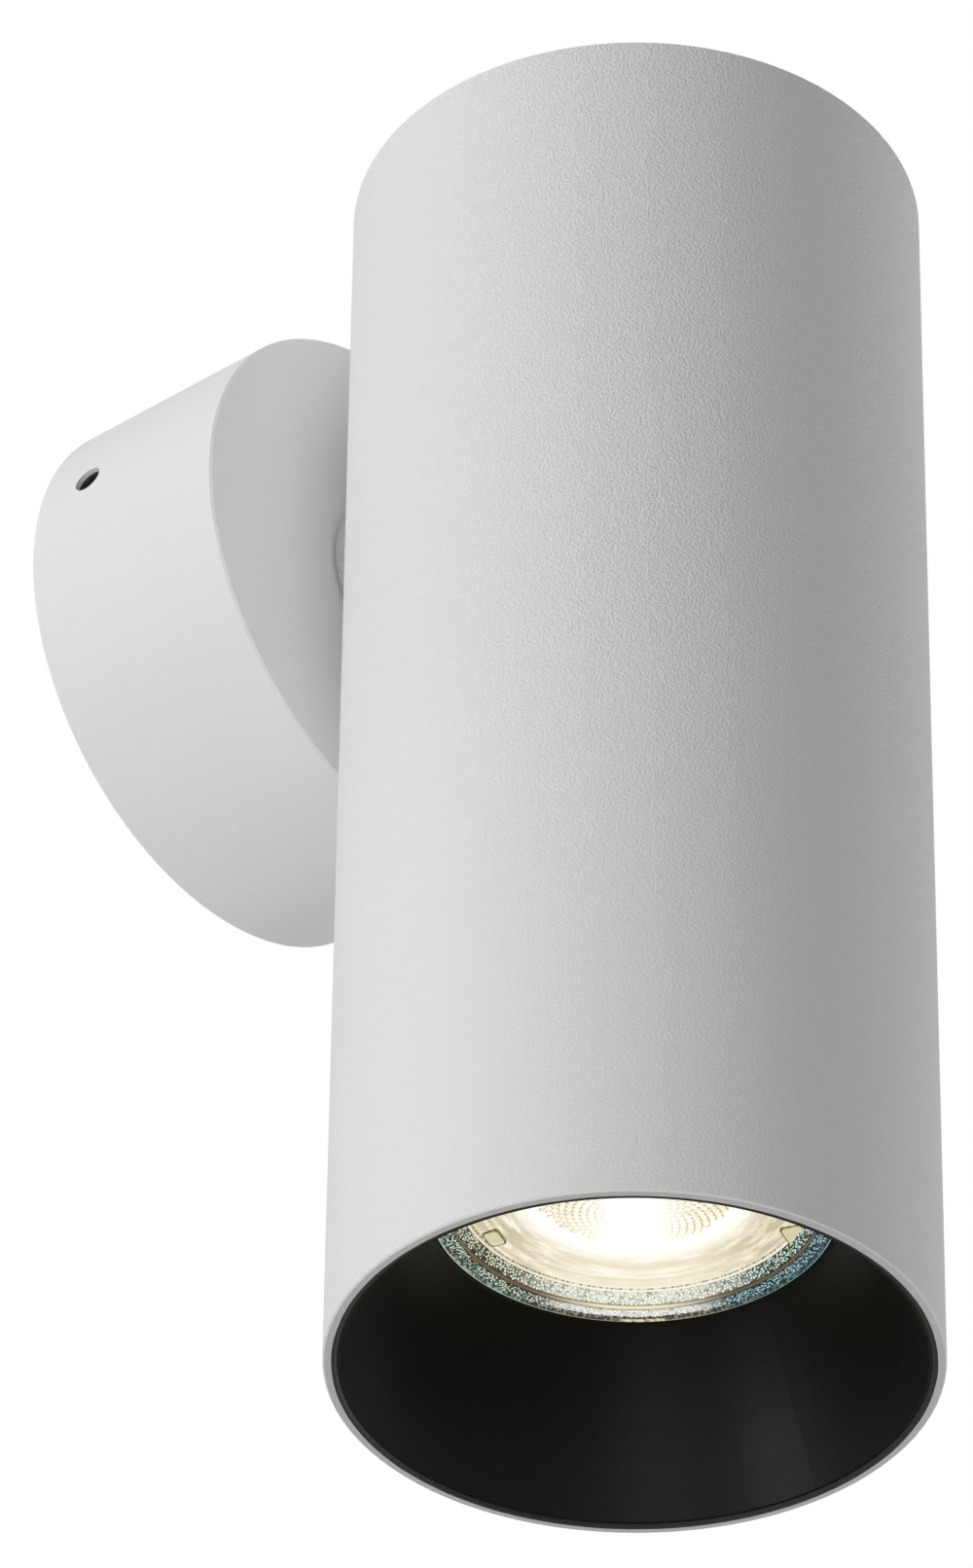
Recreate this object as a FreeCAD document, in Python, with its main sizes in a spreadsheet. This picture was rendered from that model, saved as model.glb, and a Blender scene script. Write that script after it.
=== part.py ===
"""Pivoting spotlight wall light, in millimetres.

The wall is the plane y = 0 and the light stands out from it towards -Y, with +Z up and +X to the
right of someone who faces the wall. The origin is the centre of the canopy's back, on the wall.

A round canopy hides a steel bracket and the mains terminals. A hollow stud through the canopy's
front plate carries a long tube, which turns on it about the wall's normal. The tube holds a
headed-pin bayonet lamp behind a black conical baffle.
"""

import FreeCAD, Part
import math
import os

import Sketcher

SIZES = {
    # canopy, a turned cup with its open side on the wall
    "canopy_dia": 75.0,
    "canopy_depth": 31.0,
    "canopy_wall": 3.0,
    "canopy_plate": 3.0,
    "canopy_edge": 0.25,
    "canopy_root": 1.5,
    # set screws that clamp the canopy to its bracket
    "set_screw_dia": 4.0,
    "set_screw_bite": 1.0,
    "set_screw_sink": 1.5,
    "set_screw_offset": 8.2,
    "set_screw_polar": 166.5,
    "set_screw_slot": 0.8,
    "set_screw_slot_depth": 1.0,
    "set_screw_slot_tilt": -28.0,
    # wall bracket, a pressed pan inside the canopy
    "bracket_thick": 1.5,
    "bracket_rim": 14.0,
    "bracket_bevel": 1.5,
    "bracket_gap": 0.5,
    "bracket_hole_gap": 0.25,
    "wall_slot_inset": 9.0,
    "wall_slot_width": 4.5,
    "wall_slot_length": 9.0,
    # edge bush where the mains cable enters
    "cable_bore": 9.0,
    "cable_bush_wall": 2.0,
    "cable_bush_flange": 1.5,
    "cable_bush_flange_thick": 1.5,
    # terminal block
    "terminal_gap": 1.0,
    "terminal_pitch": 8.0,
    "terminal_tower": 6.6,
    "terminal_tall": 13.0,
    "terminal_web": 7.5,
    "terminal_deep": 12.0,
    "terminal_ear": 6.0,
    "terminal_ear_thick": 3.0,
    "terminal_axis": 6.0,
    "barrel_dia": 4.4,
    "barrel_bore": 2.8,
    "barrel_inset": 0.5,
    "clamp_screw_dia": 2.6,
    "clamp_screw_spacing": 5.6,
    "clamp_screw_sink": 1.2,
    "clamp_screw_slot": 0.6,
    "block_screw_dia": 3.0,
    "block_screw_head": 5.4,
    "block_screw_head_tall": 1.8,
    # earth terminal
    "earth_inset": 10.7,
    "earth_polar": 121.0,
    "earth_screw_dia": 4.0,
    "earth_head_dia": 8.0,
    "earth_head_tall": 2.6,
    "earth_washer_dia": 9.6,
    "earth_washer_thick": 1.0,
    "screw_back": 0.2,
    # pivot, listed from the canopy's plate inwards
    "stud_dia": 10.0,
    "stud_bore": 6.5,
    "stud_proud": 3.0,
    "stud_flat": 4.4,
    "stud_head": 15.0,
    "stud_head_tall": 4.0,
    "stud_chamfer": 0.6,
    "bush_gap": 0.05,
    "bush_wall": 1.95,
    "bush_flange": 20.0,
    "bush_flange_thick": 1.0,
    "bush_sink": 0.1,
    "play": 0.05,
    "washer_gap": 0.1,
    "friction_washer_dia": 20.0,
    "friction_washer_thick": 1.0,
    "disc_spring_thick": 0.8,
    "disc_spring_rise": 0.5,
    "stop_washer_dia": 18.0,
    "stop_washer_thick": 1.0,
    "stop_arm": 2.0,
    "stop_arm_past": 1.5,
    "stop_pin_dia": 2.0,
    "stop_pin_place": 24.0,
    "stop_pin_root": 1.8,
    "stop_pin_past": 1.0,
    "nut_across": 17.0,
    "nut_tall": 5.0,
    "sleeve_wall": 0.6,
    "sleeve_rim": 9.2,
    "sleeve_rim_thick": 1.2,
    "sleeve_deep": 5.0,
    # neck between the canopy and the tube
    "head_gap": 3.0,
    "neck_dia": 23.5,
    "neck_edge": 0.3,
    "thrust_washer_thick": 0.5,
    "thrust_washer_inset": 0.4,
    "saddle_thick": 4.0,
    "saddle_wide": 20.0,
    "saddle_tall": 24.0,
    # tube
    "tube_dia": 75.0,
    "tube_length": 180.0,
    "tube_wall": 1.7,
    "tube_edge": 0.25,
    "tube_lip": 0.3,
    "pivot_above_mouth": 138.0,
    "cap_thick": 2.0,
    "cap_rim_wall": 1.2,
    "cap_rim_deep": 5.0,
    "cap_chamfer": 0.4,
    # baffle
    "baffle_inset": 0.4,
    "baffle_thick": 1.2,
    "baffle_edge": 0.4,
    "baffle_band": 2.5,
    "baffle_collar": 2.5,
    "baffle_lamp_gap": 0.5,
    "spring_count": 3,
    "spring_wide": 8.0,
    "spring_thick": 0.4,
    "spring_tall": 14.0,
    "spring_bow": 1.5,
    "spring_toe_gap": 1.9,
    "rivet_dia": 1.6,
    "rivet_head_dia": 2.6,
    "rivet_head_tall": 0.8,
    # lamp
    "lamp_recess": 23.0,
    "lamp_dia": 50.0,
    "lamp_length": 54.0,
    "lamp_rim_tall": 3.0,
    "lamp_rim_face": 0.5,
    "lamp_rim_chamfer": 0.15,
    "glass_wall": 1.8,
    "glass_length": 35.0,
    "glass_neck": 27.0,
    "glass_neck_tall": 4.0,
    "glass_waist": 22.5,
    "glass_waist_place": 15.0,
    "lens_sink": 0.5,
    "lens_thick": 3.6,
    "lens_ledge_dia": 45.8,
    "lens_ledge_deep": 0.65,
    "lens_step_dia": 43.6,
    "lens_step": 1.9,
    "lens_dish": 0.9,
    "lens_hub_dia": 26.0,
    "lens_hub_crown": 0.9,
    "lens_hub_flat": 8.0,
    "collimator_dia": 24.0,
    "collimator_tip": 12.0,
    "collimator_tall": 6.5,
    "tab_polar": 36.5,
    "tab_spread": 66.5,
    "tab_wide": 3.4,
    "tab_rise": 0.4,
    "tab_deep": 2.0,
    "tab_proud": 0.4,
    "board_dia": 33.0,
    "board_thick": 1.6,
    "chip_side": 3.0,
    "chip_tall": 0.7,
    "chip_ring": 7.0,
    "chip_count": 4,
    "driver_wide": 17.0,
    "driver_tall": 24.0,
    "driver_thick": 1.2,
    "driver_gap": 0.5,
    "capacitor_dia": 7.0,
    "capacitor_tall": 9.0,
    "capacitor_lift": 2.0,
    "base_shoulder_dia": 26.0,
    "base_top_dia": 22.0,
    "base_spigot": 6.0,
    "base_bore": 18.0,
    "base_roof": 4.0,
    # bayonet
    "pin_spacing": 10.0,
    "pin_length": 7.0,
    "pin_neck": 3.0,
    "pin_head": 5.0,
    "pin_head_tall": 2.6,
    "pin_root": 2.0,
    "lamp_turn": 45.0,
    "seat_gap": 0.3,
    "holder_dia": 30.0,
    "holder_top_dia": 24.0,
    "holder_tall": 18.0,
    "holder_step": 10.0,
    "contact_wide": 3.6,
    "contact_thick": 0.6,
    "contact_root": 3.0,
    "contact_out": 3.0,
    "contact_tail": 5.0,
    "holder_screw_dia": 3.0,
    "holder_screw_place": 9.2,
    "holder_screw_deep": 7.0,
    "holder_screw_head": 5.6,
    "holder_screw_head_tall": 2.0,
    # strap that carries the holder
    "strap_thick": 1.5,
    "strap_wide": 18.0,
    "strap_bend": 3.0,
    "strap_past_stud": 11.0,
    "strap_past_holder": 13.0,
}

NEAR = 1e-4
HALF = "half circle"
WALLWARD = FreeCAD.Rotation(FreeCAD.Vector(1, 0, 0), 90)
UPRIGHT = FreeCAD.Rotation()

# Distances out from the wall, along the pivot
CANOPY_R = "(sizes.canopy_dia / 2)"
CUP_BORE_R = "(sizes.canopy_dia / 2 - sizes.canopy_wall)"
PLATE_BACK = "(sizes.canopy_depth - sizes.canopy_plate)"
BUSH_R = "(sizes.stud_dia / 2 + sizes.bush_gap + sizes.bush_wall)"
BUSH_BORE_R = "(sizes.stud_dia / 2 + sizes.bush_gap)"
WASHER_BORE_R = "(sizes.stud_dia / 2 + sizes.washer_gap)"
FLANGE_BACK = f"({PLATE_BACK} - sizes.bush_flange_thick)"
FRICTION_FRONT = f"({FLANGE_BACK} - sizes.play)"
FRICTION_BACK = f"({FRICTION_FRONT} - sizes.friction_washer_thick)"
SPRING_BACK = f"({FRICTION_BACK} - sizes.disc_spring_thick - sizes.disc_spring_rise)"
STOP_BACK = f"({SPRING_BACK} - sizes.stop_washer_thick)"
NUT_BACK = f"({STOP_BACK} - sizes.nut_tall)"
STUD_END = f"({NUT_BACK} - sizes.stud_proud)"
WASHER_BACK = "(sizes.canopy_depth + sizes.play)"
NECK_BACK = f"({WASHER_BACK} + sizes.thrust_washer_thick)"
TUBE_R = "(sizes.tube_dia / 2)"
TUBE_BORE_R = "(sizes.tube_dia / 2 - sizes.tube_wall)"
HEAD_AXIS = "(sizes.canopy_depth + sizes.head_gap + sizes.tube_dia / 2)"
SADDLE_FRONT = f"({HEAD_AXIS} - {TUBE_BORE_R} + sizes.saddle_thick)"
STRAP_FRONT = f"({SADDLE_FRONT} + sizes.strap_thick)"

# Bracket
BRACKET_R = f"({CUP_BORE_R} - sizes.bracket_gap)"
SET_SCREW_TIP = f"({BRACKET_R} - sizes.set_screw_bite)"
CABLE_HOLE_R = "(sizes.cable_bore / 2 + sizes.cable_bush_wall)"
WALL_SLOT_X = f"({BRACKET_R} - sizes.wall_slot_inset)"
EARTH_X = f"(({BRACKET_R} - sizes.earth_inset) * cos(sizes.earth_polar * 1 deg))"
EARTH_Z = f"(({BRACKET_R} - sizes.earth_inset) * sin(sizes.earth_polar * 1 deg))"
BLOCK_TOWER_END = "(sizes.terminal_pitch + sizes.terminal_tower / 2)"
BLOCK_SCREW_X = f"({BLOCK_TOWER_END} + sizes.terminal_ear / 2)"
BLOCK_END = f"({BLOCK_TOWER_END} + sizes.terminal_ear)"
BLOCK_REACH = f"({BRACKET_R} - sizes.bracket_thick - sizes.terminal_gap)"
BLOCK_DROP = f"(sqrt(pow({BLOCK_REACH}; 2) - pow({BLOCK_END}; 2)) - sizes.terminal_deep / 2)"
BARREL_AXIS = "(sizes.bracket_thick + sizes.terminal_axis)"
BLOCK_TOP = "(sizes.bracket_thick + sizes.terminal_tall)"

# Heights above the mouth, and above the lamp's front
BAFFLE_FLANGE = "(sizes.lamp_recess + sizes.baffle_collar)"
BAFFLE_TOP = f"({BAFFLE_FLANGE} + sizes.baffle_thick)"
BAFFLE_COLLAR_R = "(sizes.lamp_dia / 2 + sizes.baffle_lamp_gap)"
BASE_TOP = "(sizes.lamp_length - sizes.pin_length)"
HEAD_UNDER = "(sizes.lamp_length - sizes.pin_head_tall)"
HOLDER_UNDER = f"({BASE_TOP} + sizes.seat_gap)"
HOLDER_TOP = f"({HOLDER_UNDER} + sizes.holder_tall)"
POCKET_FLOOR = f"({HEAD_UNDER} - sizes.seat_gap)"
POCKET_ROOF = "(sizes.lamp_length + sizes.seat_gap)"
LENS_R = "(sizes.lamp_dia / 2 - sizes.lamp_rim_face)"
LENS_BACK = "(sizes.lens_sink + sizes.lens_thick)"
CHIP_FRONT = f"({LENS_BACK} + sizes.collimator_tall)"
BOARD_FRONT = f"({CHIP_FRONT} + sizes.chip_tall)"
NECK_BORE_R = "(sizes.glass_neck / 2 - sizes.glass_wall)"
SHELF_FRONT = f"({HOLDER_TOP} + sizes.lamp_recess)"
LEG_FACE = f"({HEAD_AXIS} - {SADDLE_FRONT})"
DRIVER_TIP = f"({BASE_TOP} - sizes.base_roof - sizes.driver_gap)"

# Baffle springs, out from the tube's axis
SPRING_R = f"sqrt(pow({TUBE_BORE_R}; 2) - pow(sizes.spring_wide / 2; 2))"
SPRING_TOE = f"({BAFFLE_COLLAR_R} + sizes.spring_toe_gap)"
SPRING_HEEL = f"({SPRING_R} - sizes.spring_bow)"
SPRING_OUTER = "((pow(sizes.spring_tall / 2; 2) + pow(sizes.spring_bow; 2)) / (2 * sizes.spring_bow))"
SPRING_INNER = f"({SPRING_OUTER} - sizes.spring_thick)"
SPRING_BEND = f"sqrt(pow({SPRING_INNER}; 2) - pow(sizes.spring_tall / 2 - sizes.spring_thick; 2))"
SPRING_FOOT = f"({SPRING_R} - {SPRING_OUTER} + {SPRING_BEND})"
RIVET_PLACE = f"(({BAFFLE_COLLAR_R} + sizes.baffle_thick + {SPRING_FOOT}) / 2)"

doc = FreeCAD.newDocument("wall_light")
sheet = doc.addObject("Spreadsheet::Sheet", "sizes")
subparts = []


def fill_sheet():
    """Puts each driving size in its own cell, with its name as the alias."""
    for row, (name, size) in enumerate(SIZES.items(), 1):
        sheet.set(f"A{row}", str(size))
        sheet.setAlias(f"A{row}", name)
    doc.recompute()


def number(expression):
    """Value of an expression over the sheet."""
    return float(sheet.evalExpression(expression))


def new_body(label, x="0", y="0", z="0", turn=UPRIGHT):
    """A sub-part's body, placed by expressions."""
    body = doc.addObject("PartDesign::Body", label)
    body.Label = label
    body.Placement = FreeCAD.Placement(FreeCAD.Vector(number(x), number(y), number(z)), turn)
    for axis, expression in (("x", x), ("y", y), ("z", z)):
        if expression != "0":
            body.setExpression(f"Placement.Base.{axis}", expression)
    subparts.append(body)
    return body


def wall_body(label):
    """A body whose local +Z is the distance out from the wall and whose local +Y is up."""
    return new_body(label, turn=WALLWARD)


def tube_body(label):
    """A body on the tube's axis, with its local origin in the plane of the mouth."""
    return new_body(label, y=f"-{HEAD_AXIS}", z="-sizes.pivot_above_mouth")


def lamp_body(label):
    """A body on the tube's axis, with its local origin in the plane of the lamp's front."""
    return new_body(label, y=f"-{HEAD_AXIS}", z="sizes.lamp_recess - sizes.pivot_above_mouth")


def origin_part(body, role):
    """One of the body's own origin planes or axes."""
    for feature in body.Origin.OriginFeatures:
        if feature.Role == role:
            return feature
    raise ValueError(f"{body.Label} has no {role}")


def new_sketch(body, plane="XY_Plane", offset="0", polar=None):
    """A sketch on an origin plane, turned about its own Y and moved along its normal."""
    sketch = body.newObject("Sketcher::SketchObject", f"{body.Label}_sketch")
    sketch.AttachmentSupport = [(origin_part(body, plane), "")]
    sketch.MapMode = "FlatFace"
    if polar:
        turn = FreeCAD.Rotation(FreeCAD.Vector(0, 1, 0), number(polar))
        sketch.AttachmentOffset = FreeCAD.Placement(FreeCAD.Vector(), turn)
        sketch.setExpression("AttachmentOffset.Rotation.Angle", polar)
        sketch.setExpression("AttachmentOffset.Base.x", f"({offset}) * sin({polar} * 1 deg)")
        sketch.setExpression("AttachmentOffset.Base.z", f"({offset}) * cos({polar} * 1 deg)")
    elif offset != "0":
        sketch.setExpression("AttachmentOffset.Base.z", offset)
    return sketch


def tie(sketch, kind, geometry, point, expression):
    """Ties one coordinate of a sketch point to an expression, from the sketch's origin."""
    if expression == "0":
        axis = -2 if kind == "DistanceX" else -1
        sketch.addConstraint(Sketcher.Constraint("PointOnObject", geometry, point, axis))
        return
    value = number(expression)
    index = sketch.addConstraint(Sketcher.Constraint(kind, -1, 1, geometry, point, value))
    sketch.setExpression(f"Constraints[{index}]", expression)


def tie_radius(sketch, geometry, expression):
    """Ties the radius of a circle or an arc to an expression."""
    index = sketch.addConstraint(Sketcher.Constraint("Radius", geometry, number(expression)))
    sketch.setExpression(f"Constraints[{index}]", expression)


def draw_circle(sketch, radius, x="0", y="0"):
    """A circle in a sketch."""
    centre = FreeCAD.Vector(number(x), number(y), 0)
    circle = Part.Circle(centre, FreeCAD.Vector(0, 0, 1), number(radius))
    index = sketch.addGeometry(circle, False)
    tie_radius(sketch, index, radius)
    tie(sketch, "DistanceX", index, 3, x)
    tie(sketch, "DistanceY", index, 3, y)


def arc_between(start, end, radius):
    """The lesser arc from start to end: counter-clockwise for a positive radius."""
    chord = end - start
    half = chord.Length / 2
    left = FreeCAD.Vector(-chord.y, chord.x, 0).normalize()
    rise = math.sqrt(max(radius * radius - half * half, 0))
    centre = (start + end) / 2 + left * math.copysign(rise, radius)
    circle = Part.Circle(centre, FreeCAD.Vector(0, 0, 1), abs(radius))
    first, last = (start, end) if radius > 0 else (end, start)
    return Part.ArcOfCircle(circle, circle.parameter(first), circle.parameter(last))


def draw_side(sketch, start, end, bend=None):
    """One side of an outline: a line, an arc of a radius, or a half circle for the bend HALF.

    Returns its geometry index and which of its points are its start and its end.
    """
    if bend is None:
        return sketch.addGeometry(Part.LineSegment(start, end), False), 1, 2
    radius = start.distanceToPoint(end) / 2 if bend == HALF else number(bend)
    index = sketch.addGeometry(arc_between(start, end, radius), False)
    if bend == HALF:
        chord = sketch.addGeometry(Part.LineSegment(start, end), True)
        sketch.addConstraint(Sketcher.Constraint("Coincident", chord, 1, index, 1))
        sketch.addConstraint(Sketcher.Constraint("Coincident", chord, 2, index, 2))
        sketch.addConstraint(Sketcher.Constraint("PointOnObject", index, 3, chord))
    else:
        tie_radius(sketch, index, bend.lstrip("-"))
    return (index, 1, 2) if radius > 0 else (index, 2, 1)


def draw_outline(sketch, corners):
    """A closed outline. A corner is (x, y), or (x, y, bend) where an arc leaves it."""
    points = [FreeCAD.Vector(number(corner[0]), number(corner[1]), 0) for corner in corners]
    sides = []
    for start, end, corner in zip(points, points[1:] + points[:1], corners):
        sides.append(draw_side(sketch, start, end, *corner[2:]))
    for (index, first, last), after, corner in zip(sides, sides[1:] + sides[:1], corners):
        sketch.addConstraint(Sketcher.Constraint("Coincident", index, last, after[0], after[1]))
        tie(sketch, "DistanceX", index, first, corner[0])
        tie(sketch, "DistanceY", index, first, corner[1])


def draw_box(sketch, wide, tall, x="0", y="0"):
    """A rectangle about its centre."""
    left, right = f"{x} - ({wide}) / 2", f"{x} + ({wide}) / 2"
    low, high = f"{y} - ({tall}) / 2", f"{y} + ({tall}) / 2"
    draw_outline(sketch, [(left, low), (right, low), (right, high), (left, high)])


def draw_slot(sketch, length, wide, x="0", y="0"):
    """A slot along X with round ends, about its centre."""
    left, right = f"{x} - ({length} - {wide}) / 2", f"{x} + ({length} - {wide}) / 2"
    low, high = f"{y} - ({wide}) / 2", f"{y} + ({wide}) / 2"
    draw_outline(sketch, [(left, low), (right, low, HALF), (right, high), (left, high, HALF)])


def draw_hexagon(sketch, across):
    """A hexagon about the origin, by its width across flats."""
    corner, half, side = f"{across} / sqrt(3)", f"{across} / 2", f"{across} / sqrt(3) / 2"
    draw_outline(sketch, [(corner, "0"), (side, half), (f"-{side}", half),
                          (f"-{corner}", "0"), (f"-{side}", f"-{half}"), (side, f"-{half}")])


def draw_arc_slot(sketch, middle, wide, turn):
    """A curved slot about the origin, from the +X axis clockwise through a turn in degrees."""
    inner, outer = f"({middle} - {wide} / 2)", f"({middle} + {wide} / 2)"
    cos, sin = f"cos({turn} * 1 deg)", f"sin({turn} * 1 deg)"
    draw_outline(sketch, [(outer, "0", HALF), (inner, "0", f"-{inner}"),
                          (f"{inner} * {cos}", f"-{inner} * {sin}", HALF),
                          (f"{outer} * {cos}", f"-{outer} * {sin}", outer)])


def add_feature(body, kind, sketch, length=None, both=False, flip=False):
    """A feature on a sketch: a length, or through everything when length is None."""
    feature = body.newObject(f"PartDesign::{kind}", f"{body.Label}_{kind.lower()}")
    feature.Profile = sketch
    if length is None:
        feature.Type = "ThroughAll"
    else:
        feature.setExpression("Length", length)
    if both:
        feature.SideType = "Symmetric" if length else "Two sides"
        if length is None:
            feature.Type2 = "ThroughAll"
    feature.Reversed = flip
    body.Tip = feature
    return feature


def pad(body, sketch, length, both=False, flip=False):
    """Material along the sketch's normal."""
    return add_feature(body, "Pad", sketch, length, both, flip)


def cut(body, sketch, length=None, both=False, flip=False):
    """A pocket, which must take material away."""
    doc.recompute()
    before = body.Shape.Volume
    feature = add_feature(body, "Pocket", sketch, length, both, flip)
    doc.recompute()
    if before - body.Shape.Volume < NEAR:
        raise ValueError(f"a pocket in {body.Label} cuts nothing")
    return feature


def turn_profile(body, corners):
    """A full turn of an outline of (radius, height) corners about the body's Z axis."""
    sketch = new_sketch(body, "XZ_Plane")
    draw_outline(sketch, corners)
    feature = body.newObject("PartDesign::Revolution", f"{body.Label}_turn")
    feature.Profile = sketch
    feature.ReferenceAxis = (sketch, ["V_Axis"])
    feature.Angle = 360
    body.Tip = feature
    return feature


def ring_edges(body, rings):
    """Names of the round edges about the body's Z axis, given as (radius, height) pairs."""
    doc.recompute()
    wanted = [(number(radius), number(height)) for radius, height in rings]
    names = []
    for index, edge in enumerate(body.Tip.Shape.Edges, 1):
        if edge.Curve.TypeId != "Part::GeomCircle":
            continue
        centre = edge.Curve.Center
        for radius, height in wanted:
            same = abs(edge.Curve.Radius - radius) < NEAR and abs(centre.z - height) < NEAR
            if same and math.hypot(centre.x, centre.y) < NEAR:
                names.append(f"Edge{index}")
    if len(names) < len(rings):
        raise ValueError(f"{body.Label} lacks an edge to chamfer")
    return names


def chamfer(body, size, edges):
    """A chamfer on named edges of what the body is so far."""
    base = body.Tip
    feature = body.newObject("PartDesign::Chamfer", f"{body.Label}_chamfer")
    feature.Base = (base, edges)
    feature.setExpression("Size", size)
    body.Tip = feature


def repeat_round(body, count):
    """Copies the whole body evenly about its Z axis."""
    whole = body.Tip
    pattern = body.newObject("PartDesign::PolarPattern", f"{body.Label}_round")
    pattern.Originals = [whole]
    pattern.Axis = (origin_part(body, "Z_Axis"), [""])
    pattern.Angle = 360
    pattern.setExpression("Occurrences", count)
    pattern.TransformMode = "Whole shape"
    body.Tip = pattern


def repeat_along(body, axis, length, count):
    """Copies the whole body along one of its axes, with length from first to last."""
    whole = body.Tip
    pattern = body.newObject("PartDesign::LinearPattern", f"{body.Label}_row")
    pattern.Originals = [whole]
    pattern.Direction = (origin_part(body, axis), [""])
    pattern.setExpression("Length", length)
    pattern.Occurrences = count
    pattern.TransformMode = "Whole shape"
    body.Tip = pattern


def ring(body, inner, outer, low, high):
    """A plain washer or sleeve between two heights."""
    return turn_profile(body, [(inner, low), (outer, low), (outer, high), (inner, high)])


def canopy_shell():
    """Turned cup: side wall, front plate, bush hole, set-screw holes and the stop pin's seat."""
    body = wall_body("canopy_shell")
    turn_profile(body, [(CUP_BORE_R, "0"), (CANOPY_R, "0"), (CANOPY_R, "sizes.canopy_depth"),
                        (BUSH_R, "sizes.canopy_depth"), (BUSH_R, PLATE_BACK),
                        (CUP_BORE_R, PLATE_BACK)])
    chamfer(body, "sizes.canopy_edge", ring_edges(body, [(CANOPY_R, "sizes.canopy_depth")]))
    chamfer(body, "sizes.canopy_root", ring_edges(body, [(CUP_BORE_R, PLATE_BACK)]))
    chamfer(body, "sizes.canopy_edge / 2", ring_edges(body, [(CANOPY_R, "0")]))
    holes = new_sketch(body, "YZ_Plane", polar="sizes.set_screw_polar")
    draw_circle(holes, "sizes.set_screw_dia / 2", y="sizes.set_screw_offset")
    cut(body, holes, both=True)
    seat = new_sketch(body, "XY_Plane", PLATE_BACK)
    draw_circle(seat, "sizes.stop_pin_dia / 2", y="-sizes.stop_pin_place")
    cut(body, seat, "sizes.stop_pin_root", flip=True)


def canopy_set_screws():
    """Two slotted set screws, sunk in the canopy's side, whose tips enter the bracket's rim."""
    body = wall_body("canopy_set_screws")
    shank = new_sketch(body, "YZ_Plane", SET_SCREW_TIP, "sizes.set_screw_polar")
    draw_circle(shank, "sizes.set_screw_dia / 2", y="sizes.set_screw_offset")
    pad(body, shank, f"{CANOPY_R} - sizes.set_screw_sink - {SET_SCREW_TIP}")
    slot = new_sketch(body, "YZ_Plane", f"{CANOPY_R} - sizes.set_screw_sink", "sizes.set_screw_polar")
    across = "sizes.set_screw_dia"
    cos, sin = "cos(sizes.set_screw_slot_tilt * 1 deg)", "sin(sizes.set_screw_slot_tilt * 1 deg)"
    half = "sizes.set_screw_slot / 2"
    corners = []
    for along, aside in ((-1, -1), (1, -1), (1, 1), (-1, 1)):
        x = f"{along} * {across} * {sin} - {aside} * {half} * {cos}"
        y = f"sizes.set_screw_offset + {along} * {across} * {cos} + {aside} * {half} * {sin}"
        corners.append((x, y))
    draw_outline(slot, corners)
    cut(body, slot, "sizes.set_screw_slot_depth")
    repeat_round(body, "2")


def wall_bracket():
    """Pressed pan with wall slots, a cable hole, tapped holes and rim holes for the set screws."""
    body = wall_body("wall_bracket")
    thick, rim = "sizes.bracket_thick", "sizes.bracket_rim"
    turn_profile(body, [(CABLE_HOLE_R, "0"), (BRACKET_R, "0"), (BRACKET_R, rim),
                        (f"{BRACKET_R} - {thick}", rim), (f"{BRACKET_R} - {thick}", thick),
                        (CABLE_HOLE_R, thick)])
    chamfer(body, "sizes.bracket_bevel", ring_edges(body, [(BRACKET_R, "0")]))
    holes = new_sketch(body)
    for side in ("-", ""):
        draw_slot(holes, "sizes.wall_slot_length", "sizes.wall_slot_width",
                  x=f"{side}{WALL_SLOT_X}")
        draw_circle(holes, "sizes.block_screw_dia / 2", f"{side}{BLOCK_SCREW_X}",
                    f"-{BLOCK_DROP}")
    draw_circle(holes, "sizes.earth_screw_dia / 2", EARTH_X, EARTH_Z)
    cut(body, holes, thick, flip=True)
    rim = new_sketch(body, "YZ_Plane", polar="sizes.set_screw_polar")
    draw_circle(rim, "sizes.set_screw_dia / 2 + sizes.bracket_hole_gap", y="sizes.set_screw_offset")
    cut(body, rim, both=True)


def cable_bush():
    """Plastic edge bush in the bracket's cable hole, flush with the wall."""
    body = wall_body("cable_bush")
    flange_r = f"{CABLE_HOLE_R} + sizes.cable_bush_flange"
    top = "sizes.bracket_thick + sizes.cable_bush_flange_thick"
    turn_profile(body, [("sizes.cable_bore / 2", "0"), (CABLE_HOLE_R, "0"),
                        (CABLE_HOLE_R, "sizes.bracket_thick"), (flange_r, "sizes.bracket_thick"),
                        (flange_r, top), ("sizes.cable_bore / 2", top)])
    chamfer(body, "sizes.cable_bush_flange_thick / 3", ring_edges(body, [(flange_r, top)]))


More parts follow.
